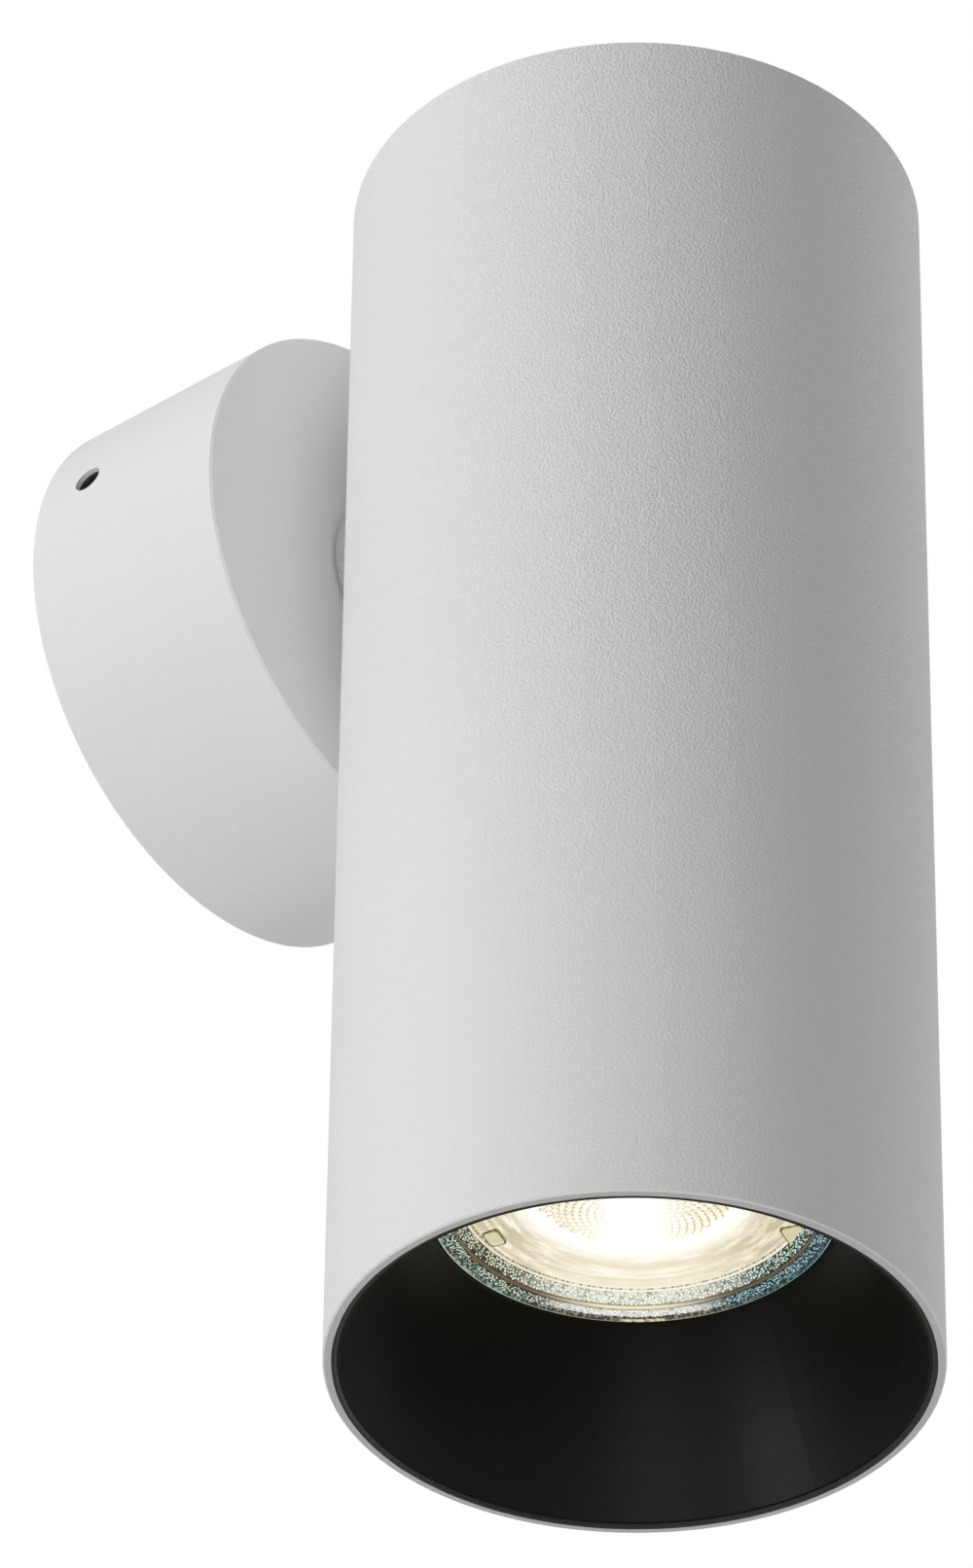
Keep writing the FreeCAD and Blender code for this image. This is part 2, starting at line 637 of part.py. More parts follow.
def terminal_block():
    """Three insulated towers on a strip with ears: barrel bores, screw wells and ear holes."""
    body = wall_body("terminal_block")
    low, ear, web = "sizes.bracket_thick", "sizes.terminal_ear_thick", "sizes.terminal_web"
    half, pitch = "sizes.terminal_tower / 2", "sizes.terminal_pitch"
    corners = [(f"-{BLOCK_END}", low), (BLOCK_END, low), (BLOCK_END, f"{low} + {ear}"),
               (BLOCK_TOWER_END, f"{low} + {ear}"), (BLOCK_TOWER_END, BLOCK_TOP)]
    for right, left in ((f"{pitch} - {half}", half), (f"-{half}", f"{half} - {pitch}")):
        corners += [(right, BLOCK_TOP), (right, f"{low} + {web}"),
                    (left, f"{low} + {web}"), (left, BLOCK_TOP)]
    corners += [(f"-{BLOCK_TOWER_END}", BLOCK_TOP), (f"-{BLOCK_TOWER_END}", f"{low} + {ear}"),
                (f"-{BLOCK_END}", f"{low} + {ear}")]
    side = new_sketch(body, "XZ_Plane", BLOCK_DROP)
    draw_outline(side, corners)
    pad(body, side, "sizes.terminal_deep", both=True)
    bores = new_sketch(body, "XZ_Plane")
    wells = new_sketch(body, "XY_Plane", BLOCK_TOP)
    for place in ("-sizes.terminal_pitch", "0", "sizes.terminal_pitch"):
        draw_circle(bores, "sizes.barrel_dia / 2", place, BARREL_AXIS)
        for step in ("-", "+"):
            draw_circle(wells, "sizes.clamp_screw_dia / 2", place,
                        f"-{BLOCK_DROP} {step} sizes.clamp_screw_spacing / 2")
    cut(body, bores, both=True)
    cut(body, wells, "sizes.terminal_tall - sizes.terminal_axis")
    ears = new_sketch(body)
    for sign in ("-", ""):
        draw_circle(ears, "sizes.block_screw_dia / 2", f"{sign}{BLOCK_SCREW_X}",
                    f"-{BLOCK_DROP}")
    cut(body, ears, both=True)


def terminal_barrels():
    """Three brass tubes, one in each tower, drilled for their clamp screws."""
    body = wall_body("terminal_barrels")
    section = new_sketch(body, "XZ_Plane", BLOCK_DROP)
    draw_circle(section, "sizes.barrel_dia / 2", "-sizes.terminal_pitch", BARREL_AXIS)
    draw_circle(section, "sizes.barrel_bore / 2", "-sizes.terminal_pitch", BARREL_AXIS)
    pad(body, section, "sizes.terminal_deep - 2 * sizes.barrel_inset", both=True)
    taps = new_sketch(body, "XY_Plane", BARREL_AXIS)
    for step in ("-", "+"):
        draw_circle(taps, "sizes.clamp_screw_dia / 2", "-sizes.terminal_pitch",
                    f"-{BLOCK_DROP} {step} sizes.clamp_screw_spacing / 2")
    cut(body, taps, "sizes.barrel_dia", flip=True)
    repeat_along(body, "X_Axis", "2 * sizes.terminal_pitch", 3)


def terminal_screws():
    """Six slotted clamp screws, two to a tower, that reach into the barrels."""
    body = wall_body("terminal_screws")
    foot = f"{BARREL_AXIS} + sizes.barrel_bore / 4"
    top = f"{BLOCK_TOP} - sizes.clamp_screw_sink"
    place_x = "-sizes.terminal_pitch"
    place_y = f"-{BLOCK_DROP} - sizes.clamp_screw_spacing / 2"
    shank = new_sketch(body, "XY_Plane", foot)
    draw_circle(shank, "sizes.clamp_screw_dia / 2", place_x, place_y)
    pad(body, shank, f"{top} - ({foot})")
    slot = new_sketch(body, "XY_Plane", top)
    draw_box(slot, "sizes.clamp_screw_dia * 1.2", "sizes.clamp_screw_slot", place_x, place_y)
    cut(body, slot, "sizes.clamp_screw_slot")
    repeat_along(body, "Y_Axis", "sizes.clamp_screw_spacing", 2)
    repeat_along(body, "X_Axis", "2 * sizes.terminal_pitch", 3)


def pan_screw(body, x, y, seat, shank_r, head_r, head_tall, foot):
    """A cross-slotted pan head on a seat, with a shank down to a foot."""
    shank = new_sketch(body, "XY_Plane", foot)
    draw_circle(shank, shank_r, x, y)
    pad(body, shank, f"{seat} - ({foot})")
    head = new_sketch(body, "XY_Plane", seat)
    draw_circle(head, head_r, x, y)
    pad(body, head, head_tall)
    cross = new_sketch(body, "XY_Plane", f"{seat} + {head_tall}")
    draw_cross(cross, f"{head_r} * 1.1", f"{head_r} * 0.3", x, y)
    cut(body, cross, f"{head_tall} / 2")


def draw_cross(sketch, span, wide, x, y):
    """A cross-shaped outline about its centre."""
    arms = ((1, 2), (1, 1), (2, 1), (2, -1), (1, -1), (1, -2),
            (-1, -2), (-1, -1), (-2, -1), (-2, 1), (-1, 1), (-1, 2))
    reach = {1: wide, 2: span}
    corners = []
    for across, up in arms:
        step_x = f"{math.copysign(0.5, across)} * {reach[abs(across)]}"
        step_y = f"{math.copysign(0.5, up)} * {reach[abs(up)]}"
        corners.append((f"{x} + {step_x}", f"{y} + {step_y}"))
    draw_outline(sketch, corners)


def terminal_fixing_screws():
    """Two screws that hold the terminal block's ears to the bracket."""
    body = wall_body("terminal_fixing_screws")
    pan_screw(body, f"-{BLOCK_SCREW_X}", f"-{BLOCK_DROP}",
              "sizes.bracket_thick + sizes.terminal_ear_thick", "sizes.block_screw_dia / 2",
              "sizes.block_screw_head / 2", "sizes.block_screw_head_tall", "sizes.screw_back")
    repeat_along(body, "X_Axis", f"2 * {BLOCK_SCREW_X}", 2)


def earth_screw():
    """Earth screw, tapped into the bracket."""
    body = wall_body("earth_screw")
    pan_screw(body, EARTH_X, EARTH_Z,
              "sizes.bracket_thick + sizes.earth_washer_thick", "sizes.earth_screw_dia / 2",
              "sizes.earth_head_dia / 2", "sizes.earth_head_tall", "sizes.screw_back")


def earth_washer():
    """Washer with two turned-up sides that keep the earth lead under its screw."""
    body = wall_body("earth_washer")
    low, thick = "sizes.bracket_thick", "sizes.earth_washer_thick"
    place = (EARTH_X, EARTH_Z)
    disc = new_sketch(body, "XY_Plane", low)
    draw_box(disc, "sizes.earth_washer_dia + 2 * sizes.earth_washer_thick", "sizes.earth_washer_dia",
             *place)
    draw_circle(disc, "sizes.earth_screw_dia / 2", *place)
    pad(body, disc, thick)
    sides = new_sketch(body, "XY_Plane", f"{low} + {thick}")
    for step in ("-", "+"):
        draw_box(sides, thick, "sizes.earth_washer_dia",
                 f"{place[0]} {step} (sizes.earth_washer_dia + {thick}) / 2", place[1])
    pad(body, sides, thick)


def pivot_bush():
    """Flanged plastic bearing in the canopy's plate."""
    body = wall_body("pivot_bush")
    front = "sizes.canopy_depth - sizes.bush_sink"
    turn_profile(body, [(BUSH_BORE_R, FLANGE_BACK), ("sizes.bush_flange / 2", FLANGE_BACK),
                        ("sizes.bush_flange / 2", PLATE_BACK), (BUSH_R, PLATE_BACK),
                        (BUSH_R, front), (BUSH_BORE_R, front)])


def stop_pin():
    """Pin pressed into the back of the canopy's plate, below the pivot."""
    body = wall_body("stop_pin")
    foot = f"{STOP_BACK} - sizes.stop_pin_past"
    section = new_sketch(body, "XY_Plane", foot)
    draw_circle(section, "sizes.stop_pin_dia / 2", y="-sizes.stop_pin_place")
    pad(body, section, f"{PLATE_BACK} + sizes.stop_pin_root - ({foot})")


def tube_housing():
    """Drawn tube, open at both ends, with the stud's hole on its wall side."""
    body = tube_body("tube_housing")
    section = new_sketch(body)
    draw_circle(section, TUBE_R)
    draw_circle(section, TUBE_BORE_R)
    pad(body, section, "sizes.tube_length")
    chamfer(body, "sizes.tube_edge", ring_edges(body, [(TUBE_R, "0"), (TUBE_R, "sizes.tube_length")]))
    chamfer(body, "sizes.tube_lip", ring_edges(body, [(TUBE_BORE_R, "0")]))
    hole = new_sketch(body, "XZ_Plane")
    draw_circle(hole, WASHER_BORE_R, y="sizes.pivot_above_mouth")
    cut(body, hole)


def end_cap():
    """Disc that closes the tube's top, with a rim that locates in the bore."""
    body = tube_body("end_cap")
    top = "sizes.tube_length"
    low = f"{top} - sizes.cap_thick"
    rim_r = f"{TUBE_BORE_R} - sizes.cap_rim_wall"
    turn_profile(body, [("0", low), (rim_r, low), (rim_r, f"{low} - sizes.cap_rim_deep"),
                        (TUBE_BORE_R, f"{low} - sizes.cap_rim_deep"), (TUBE_BORE_R, top),
                        ("0", top)])
    chamfer(body, "sizes.cap_chamfer", ring_edges(body, [(TUBE_BORE_R, top)]))


def saddle_spacer():
    """Neck between canopy and tube: round, flat behind, hollowed in front to the tube's round."""
    body = wall_body("saddle_spacer")
    section = new_sketch(body, "XY_Plane", NECK_BACK)
    draw_circle(section, "sizes.neck_dia / 2")
    draw_circle(section, WASHER_BORE_R)
    pad(body, section, f"{HEAD_AXIS} - {NECK_BACK}")
    chamfer(body, "sizes.neck_edge", ring_edges(body, [("sizes.neck_dia / 2", NECK_BACK)]))
    hollow = new_sketch(body, "XZ_Plane")
    draw_circle(hollow, TUBE_R, y=HEAD_AXIS)
    cut(body, hollow, both=True)


def thrust_washer():
    """Plastic washer that the neck turns on."""
    body = wall_body("thrust_washer")
    ring(body, WASHER_BORE_R, "sizes.neck_dia / 2 - sizes.thrust_washer_inset", WASHER_BACK, NECK_BACK)


def pivot_stud():
    """Hollow stud: hexagon head inside the tube, round journal, one flat towards the canopy."""
    body = wall_body("pivot_stud")
    shank = new_sketch(body, "XY_Plane", STUD_END)
    draw_circle(shank, "sizes.stud_dia / 2")
    pad(body, shank, f"{STRAP_FRONT} - {STUD_END}")
    chamfer(body, "sizes.stud_chamfer", ring_edges(body, [("sizes.stud_dia / 2", STUD_END)]))
    head = new_sketch(body, "XY_Plane", STRAP_FRONT)
    draw_hexagon(head, "sizes.stud_head")
    pad(body, head, "sizes.stud_head_tall")
    bore = new_sketch(body, "XY_Plane")
    draw_circle(bore, "sizes.stud_bore / 2")
    cut(body, bore, flip=True)
    flat = new_sketch(body, "XY_Plane", SPRING_BACK)
    draw_box(flat, "sizes.stud_dia", "sizes.stud_dia", x="sizes.stud_flat + sizes.stud_dia / 2")
    cut(body, flat, f"{SPRING_BACK} - {STUD_END}")


def inner_saddle():
    """Block inside the tube: round against its bore, flat under the strap."""
    body = wall_body("inner_saddle")
    half = "(sizes.saddle_wide / 2)"
    back = f"{HEAD_AXIS} - sqrt(pow({TUBE_BORE_R}; 2) - pow({half}; 2))"
    side = new_sketch(body, "XZ_Plane")
    draw_outline(side, [(f"-{half}", back, TUBE_BORE_R), (half, back), (half, SADDLE_FRONT),
                        (f"-{half}", SADDLE_FRONT)])
    pad(body, side, "sizes.saddle_tall", both=True)
    bore = new_sketch(body, "XY_Plane")
    draw_circle(bore, WASHER_BORE_R)
    cut(body, bore, flip=True)


def friction_washer():
    """Steel washer that rubs on the bush's flange."""
    body = wall_body("friction_washer")
    ring(body, WASHER_BORE_R, "sizes.friction_washer_dia / 2", FRICTION_BACK, FRICTION_FRONT)


def disc_spring():
    """Coned spring washer that presses the friction washer on the bush."""
    body = wall_body("disc_spring")
    rise = "sizes.disc_spring_rise"
    outer = "sizes.friction_washer_dia / 2"
    turn_profile(body, [(WASHER_BORE_R, SPRING_BACK), (outer, f"{SPRING_BACK} + {rise}"),
                        (outer, FRICTION_BACK), (WASHER_BORE_R, f"{FRICTION_BACK} - {rise}")])


def stop_washer():
    """Washer keyed to the stud's flat, whose arm meets the stop pin at each end of the turn."""
    body = wall_body("stop_washer")
    flat = "(sizes.stud_flat + sizes.washer_gap)"
    end = f"sqrt(pow({WASHER_BORE_R}; 2) - pow({flat}; 2))"
    disc = new_sketch(body, "XY_Plane", STOP_BACK)
    draw_circle(disc, "sizes.stop_washer_dia / 2")
    pad(body, disc, "sizes.stop_washer_thick")
    arm = new_sketch(body, "XY_Plane", STOP_BACK)
    reach = "(sizes.stop_pin_place + sizes.stop_arm_past)"
    draw_box(arm, "sizes.stop_arm", reach, y=f"{reach} / 2")
    pad(body, arm, "sizes.stop_washer_thick")
    half = new_sketch(body)
    draw_outline(half, [(flat, f"-{end}"), (flat, end, WASHER_BORE_R),
                        (f"-{WASHER_BORE_R}", "0", WASHER_BORE_R)])
    cut(body, half, flip=True)


def lock_nut():
    """Hexagon nut that loads the disc spring."""
    body = wall_body("lock_nut")
    section = new_sketch(body, "XY_Plane", NUT_BACK)
    draw_hexagon(section, "sizes.nut_across")
    draw_circle(section, "sizes.stud_dia / 2")
    pad(body, section, "sizes.nut_tall")


def stud_sleeve():
    """Plastic sleeve with a rim, which keeps the leads off the stud's edge."""
    body = wall_body("stud_sleeve")
    bore, outer = "sizes.stud_bore / 2 - sizes.sleeve_wall", "sizes.stud_bore / 2"
    rim = f"{STUD_END} - sizes.sleeve_rim_thick"
    turn_profile(body, [(bore, rim), ("sizes.sleeve_rim / 2", rim), ("sizes.sleeve_rim / 2", STUD_END),
                        (outer, STUD_END), (outer, f"{STUD_END} + sizes.sleeve_deep"),
                        (bore, f"{STUD_END} + sizes.sleeve_deep")])


def baffle():
    """Spun cone from the mouth to the lamp, with a collar and a flange that fits the bore."""
    body = tube_body("baffle")
    low, thick = "sizes.baffle_inset", "sizes.baffle_thick"
    turn_profile(body, [(f"{TUBE_BORE_R} - sizes.baffle_edge", low), (TUBE_BORE_R, low),
                        (TUBE_BORE_R, f"{low} + sizes.baffle_band"),
                        (f"{BAFFLE_COLLAR_R} + {thick}", f"sizes.lamp_recess + {thick} / 2"),
                        (f"{BAFFLE_COLLAR_R} + {thick}", BAFFLE_FLANGE),
                        (TUBE_BORE_R, BAFFLE_FLANGE), (TUBE_BORE_R, BAFFLE_TOP),
                        (BAFFLE_COLLAR_R, BAFFLE_TOP), (BAFFLE_COLLAR_R, "sizes.lamp_recess")])
    holes = new_sketch(body, "XY_Plane", BAFFLE_TOP)
    for turn in range(int(number("sizes.spring_count"))):
        angle = f"({turn} * 360 / sizes.spring_count * 1 deg)"
        y = f"{RIVET_PLACE} * sin{angle}" if turn else "0"
        draw_circle(holes, "sizes.rivet_dia / 2", f"{RIVET_PLACE} * cos{angle}", y)
    cut(body, holes, thick)


def baffle_springs():
    """Bowed leaf springs on the baffle's flange, which grip the tube's bore."""
    body = tube_body("baffle_springs")
    thick, tall = "sizes.spring_thick", "sizes.spring_tall"
    tip = f"({SPRING_R} - {SPRING_OUTER} + sqrt(pow({SPRING_INNER}; 2) - pow({tall} / 2; 2)))"
    side = new_sketch(body, "XZ_Plane")
    draw_outline(side, [(SPRING_TOE, BAFFLE_TOP), (SPRING_HEEL, BAFFLE_TOP, SPRING_OUTER),
                        (SPRING_HEEL, f"{BAFFLE_TOP} + {tall}"),
                        (tip, f"{BAFFLE_TOP} + {tall}", f"-{SPRING_INNER}"),
                        (SPRING_FOOT, f"{BAFFLE_TOP} + {thick}"),
                        (SPRING_TOE, f"{BAFFLE_TOP} + {thick}")])
    pad(body, side, "sizes.spring_wide", both=True)
    hole = new_sketch(body, "XY_Plane", f"{BAFFLE_TOP} + {thick}")
    draw_circle(hole, "sizes.rivet_dia / 2", RIVET_PLACE)
    cut(body, hole, thick)
    repeat_round(body, "sizes.spring_count")


def baffle_rivets():
    """Rivets through the spring feet and the baffle's flange."""
    body = tube_body("baffle_rivets")
    seat = f"{BAFFLE_TOP} + sizes.spring_thick"
    for diameter, low, length in (
            ("sizes.rivet_head_dia", f"{BAFFLE_FLANGE} - sizes.rivet_head_tall", "sizes.rivet_head_tall"),
            ("sizes.rivet_dia", BAFFLE_FLANGE, f"{seat} - {BAFFLE_FLANGE}"),
            ("sizes.rivet_head_dia", seat, "sizes.rivet_head_tall")):
        section = new_sketch(body, "XY_Plane", low)
        draw_circle(section, f"{diameter} / 2", RIVET_PLACE)
        pad(body, section, length)
    repeat_round(body, "sizes.spring_count")


def lamp_bracket():
    """Bent strap: a leg under the stud's head and a shelf that the lamp holder hangs from."""
    body = tube_body("lamp_bracket")
    thick, bend = "sizes.strap_thick", "sizes.strap_bend"
    low, back, tip = SHELF_FRONT, LEG_FACE, "-sizes.strap_past_holder"
    top = "sizes.pivot_above_mouth + sizes.strap_past_stud"
    side = new_sketch(body, "YZ_Plane")
    draw_outline(side, [(tip, low), (f"{back} - {bend}", low, bend), (back, f"{low} + {bend}"),
                        (back, top), (f"{back} - {thick}", top),
                        (f"{back} - {thick}", f"{low} + {bend}", f"-({bend} - {thick})"),
                        (f"{back} - {bend}", f"{low} + {thick}"), (tip, f"{low} + {thick}")])
    pad(body, side, "sizes.strap_wide", both=True)
    stud = new_sketch(body, "XZ_Plane")
    draw_circle(stud, WASHER_BORE_R, y="sizes.pivot_above_mouth")
    cut(body, stud)
    screws = new_sketch(body)
    for sign in ("-", ""):
        draw_circle(screws, "sizes.holder_screw_dia / 2", y=f"{sign}sizes.holder_screw_place")
    draw_circle(screws, "sizes.stud_bore / 2")
    cut(body, screws, flip=True)


def lamp_holder():
    """Ceramic bayonet holder: keyhole slots for the pins, head pockets, contact slots."""
    body = lamp_body("lamp_holder")
    step = f"{HOLDER_UNDER} + sizes.holder_step"
    turn_profile(body, [("0", HOLDER_UNDER), ("sizes.holder_dia / 2", HOLDER_UNDER),
                        ("sizes.holder_dia / 2", step), ("sizes.holder_top_dia / 2", step),
                        ("sizes.holder_top_dia / 2", HOLDER_TOP), ("0", HOLDER_TOP)])
    pin, turn, gap = "(sizes.pin_spacing / 2)", "sizes.lamp_turn", "sizes.seat_gap"
    entry_x, entry_y = f"{pin} * cos({turn} * 1 deg)", f"-{pin} * sin({turn} * 1 deg)"
    neck_slot = new_sketch(body, "XY_Plane", HOLDER_UNDER)
    draw_arc_slot(neck_slot, pin, f"(sizes.pin_neck + 2 * {gap})", turn)
    first = cut(body, neck_slot, f"{POCKET_FLOOR} - {HOLDER_UNDER}", flip=True)
    entry = new_sketch(body, "XY_Plane", HOLDER_UNDER)
    draw_circle(entry, f"sizes.pin_head / 2 + {gap}", entry_x, entry_y)
    second = cut(body, entry, f"{POCKET_ROOF} - {HOLDER_UNDER}", flip=True)
    pocket = new_sketch(body, "XY_Plane", POCKET_FLOOR)
    draw_arc_slot(pocket, pin, f"(sizes.pin_head + 2 * {gap})", turn)
    third = cut(body, pocket, f"{POCKET_ROOF} - {POCKET_FLOOR}", flip=True)
    contact = new_sketch(body, "YZ_Plane", "sizes.contact_root")
    draw_box(contact, "sizes.contact_wide", "sizes.contact_thick",
             y=f"({POCKET_ROOF} + sizes.contact_thick / 2)")
    fourth = cut(body, contact, "sizes.holder_dia / 2", flip=True)
    pattern = body.newObject("PartDesign::PolarPattern", "lamp_holder_round")
    pattern.Originals = [first, second, third, fourth]
    pattern.Axis = (origin_part(body, "Z_Axis"), [""])
    pattern.Angle = 360
    pattern.Occurrences = 2
    body.Tip = pattern
    screws = new_sketch(body, "XY_Plane", HOLDER_TOP)
    for sign in ("-", ""):
        draw_circle(screws, "sizes.holder_screw_dia / 2", y=f"{sign}sizes.holder_screw_place")
    cut(body, screws, "sizes.holder_screw_deep")


def holder_contacts():
    """Brass blades over the pin pockets, with their tails bent up outside the holder."""
    body = lamp_body("holder_contacts")
    thick, low = "sizes.contact_thick", POCKET_ROOF
    tail = "sizes.holder_dia / 2 + sizes.contact_out"
    top = f"{low} + {thick} + sizes.contact_tail"
    side = new_sketch(body, "XZ_Plane")
    draw_outline(side, [("sizes.contact_root", low), (tail, low), (tail, top),
                        (f"{tail} - {thick}", top), (f"{tail} - {thick}", f"{low} + {thick}"),
                        ("sizes.contact_root", f"{low} + {thick}")])
    pad(body, side, "sizes.contact_wide", both=True)
    repeat_round(body, "2")


def holder_screws():
    """Two screws through the strap's shelf into the holder."""
    body = lamp_body("holder_screws")
    seat = f"{HOLDER_TOP} + sizes.strap_thick"
    pan_screw(body, "0", "-sizes.holder_screw_place", seat, "sizes.holder_screw_dia / 2",
              "sizes.holder_screw_head / 2", "sizes.holder_screw_head_tall",
              f"{HOLDER_TOP} - sizes.holder_screw_deep")
    repeat_round(body, "2")


def lamp_glass():
    """Pressed glass bowl: front rim, wall with a waist, straight neck."""
    body = lamp_body("lamp_glass")
    rim_r, neck_r, end = "(sizes.lamp_dia / 2)", "(sizes.glass_neck / 2)", "sizes.glass_length"
    waist_r, waist = "sizes.glass_waist", "sizes.glass_waist_place"
    shoulder = f"({end} - sizes.glass_neck_tall)"
    wall = "sizes.glass_wall"
    turn_profile(body, [(LENS_R, "0"), (rim_r, "0"), (rim_r, "sizes.lamp_rim_tall"),
                        (waist_r, waist), (neck_r, shoulder), (neck_r, end), (NECK_BORE_R, end),
                        (NECK_BORE_R, shoulder), (f"{waist_r} - {wall}", waist),
                        (f"{rim_r} - {wall}", LENS_BACK), (LENS_R, LENS_BACK)])
    chamfer(body, "sizes.lamp_rim_chamfer", ring_edges(body, [(LENS_R, "0"), (rim_r, "0")]))


def lamp_lens():
    """Front lens: a flat band, a ledge and a sloped band round a dish with a crowned hub, and the
    collimator behind, with three locking tabs at the dish's edge."""
    body = lamp_body("lamp_lens")
    face = "sizes.lens_sink"
    ledge_r = "(sizes.lens_ledge_dia / 2)"
    ledge = f"{face} + sizes.lens_ledge_deep"
    step_r = "(sizes.lens_step_dia / 2)"
    dish = f"({face} + sizes.lens_step)"
    hub_r = "(sizes.lens_hub_dia / 2)"
    dish_low = f"({dish} + sizes.lens_dish)"
    crown = f"({dish_low} - sizes.lens_hub_crown)"
    turn_profile(body, [("0", crown), ("sizes.lens_hub_flat / 2", crown), (hub_r, dish_low), (step_r, dish),
                        (ledge_r, ledge), (ledge_r, face), (LENS_R, face),
                        (LENS_R, LENS_BACK), ("sizes.collimator_dia / 2", LENS_BACK),
                        ("sizes.collimator_tip / 2", CHIP_FRONT), ("0", CHIP_FRONT)])
    tab = new_sketch(body, "XY_Plane", f"{dish} - sizes.tab_rise")
    for aside in ("-sizes.tab_spread", "+sizes.tab_spread", "+180"):
        angle = f"((sizes.tab_polar {aside}) * 1 deg)"
        corners = []
        for reach, side in (("near", -1), ("far", -1), ("far", 1), ("near", 1)):
            along = f"({step_r} - sizes.tab_deep)" if reach == "near" else f"({step_r} + sizes.tab_proud)"
            across = f"{side} * sizes.tab_wide / 2"
            corners.append((f"{along} * cos{angle} - {across} * sin{angle}",
                            f"{along} * sin{angle} + {across} * cos{angle}"))
        draw_outline(tab, corners)
    pad(body, tab, "sizes.tab_rise + sizes.lens_dish")


def lamp_led_board():
    """Round metal-backed board across the bowl."""
    body = lamp_body("lamp_led_board")
    section = new_sketch(body, "XY_Plane", BOARD_FRONT)
    draw_circle(section, "sizes.board_dia / 2")
    pad(body, section, "sizes.board_thick")


def lamp_led_chips():
    """Light-emitting chips under the collimator."""
    body = lamp_body("lamp_led_chips")
    section = new_sketch(body, "XY_Plane", CHIP_FRONT)
    draw_box(section, "sizes.chip_side", "sizes.chip_side", x="sizes.chip_ring / 2")
    pad(body, section, "sizes.chip_tall")
    repeat_round(body, "sizes.chip_count")


def lamp_driver_board():
    """Driver board that stands in the neck, with its capacitor."""
    body = lamp_body("lamp_driver_board")
    section = new_sketch(body, "XZ_Plane")
    low = f"({DRIVER_TIP} - sizes.driver_tall)"
    draw_outline(section, [("-sizes.driver_wide / 2", low), ("sizes.driver_wide / 2", low),
                           ("sizes.driver_wide / 2", DRIVER_TIP),
                           ("-sizes.driver_wide / 2", DRIVER_TIP)])
    pad(body, section, "sizes.driver_thick", both=True)
    can = new_sketch(body, "XY_Plane", f"{low} + sizes.capacitor_lift")
    draw_circle(can, "sizes.capacitor_dia / 2", y="sizes.capacitor_dia / 2")
    pad(body, can, "sizes.capacitor_tall")


def lamp_base():
    """Ceramic neck: spigot in the glass, shoulder, bored for the driver and the pins."""
    body = lamp_body("lamp_base")
    seat = "sizes.glass_length"
    spigot = f"{seat} - sizes.base_spigot"
    turn_profile(body, [("sizes.base_bore / 2", spigot), (NECK_BORE_R, spigot), (NECK_BORE_R, seat),
                        ("sizes.base_shoulder_dia / 2", seat), ("sizes.base_top_dia / 2", BASE_TOP),
                        ("0", BASE_TOP), ("0", f"{BASE_TOP} - sizes.base_roof"),
                        ("sizes.base_bore / 2", f"{BASE_TOP} - sizes.base_roof")])
    holes = new_sketch(body, "XY_Plane", BASE_TOP)
    for sign in ("-", ""):
        draw_circle(holes, "sizes.pin_neck / 2", f"{sign}sizes.pin_spacing / 2")
    cut(body, holes, "sizes.pin_root")


def lamp_pins():
    """Two headed bayonet pins."""
    body = lamp_body("lamp_pins")
    neck = new_sketch(body, "XY_Plane", f"{BASE_TOP} - sizes.pin_root")
    draw_circle(neck, "sizes.pin_neck / 2", "sizes.pin_spacing / 2")
    pad(body, neck, f"{HEAD_UNDER} - {BASE_TOP} + sizes.pin_root")
    head = new_sketch(body, "XY_Plane", HEAD_UNDER)
    draw_circle(head, "sizes.pin_head / 2", "sizes.pin_spacing / 2")
    pad(body, head, "sizes.pin_head_tall")
    repeat_round(body, "2")


def check_and_export():
    """Stops on any failed object or bad solid, then writes one STEP file for each sub-part."""
    doc.recompute()
    for item in doc.Objects:
        if "Invalid" in item.State or "Error" in item.State:
            raise ValueError(f"{item.Label} did not compute")
    for item in subparts:
        if item.Shape.isNull() or not item.Shape.isValid() or not item.Shape.Solids:
            raise ValueError(f"{item.Label} is not a valid solid")
    os.makedirs("parts", exist_ok=True)
    for item in subparts:
        item.Shape.exportStep(f"parts/{item.Label}.step")
        print(f"{item.Label}: {len(item.Shape.Solids)} solids, {item.Shape.Volume:.1f} mm3")


fill_sheet()
for make in (
        canopy_shell, canopy_set_screws, wall_bracket, cable_bush, terminal_block,
        terminal_barrels, terminal_screws, terminal_fixing_screws, earth_screw, earth_washer,
        pivot_bush, stop_pin, tube_housing, end_cap, saddle_spacer, thrust_washer, pivot_stud,
        inner_saddle, friction_washer, disc_spring, stop_washer, lock_nut, stud_sleeve, baffle,
        baffle_springs, baffle_rivets, lamp_bracket, lamp_holder, holder_contacts, holder_screws,
        lamp_glass, lamp_lens, lamp_led_board, lamp_led_chips, lamp_driver_board, lamp_base,
        lamp_pins):
    make()
check_and_export()
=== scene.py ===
"""Looks of a pivoting spotlight wall light.

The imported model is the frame: its solids keep their shape and get their finishes here. Two are remade:
the lamp's lens, whose stipple and facets are finer than the solid, and the neck between canopy and
tube, which the photo shows a little wider. The wall is the plane y = 0, the light stands out towards -Y
and +Z is up. Values are in metres where a class doesn't say millimetres.
"""

import logging
import math
from dataclasses import dataclass, field
from enum import Enum
from functools import cache
from typing import Any

import bpy
import bmesh
from mathutils import Matrix, Vector


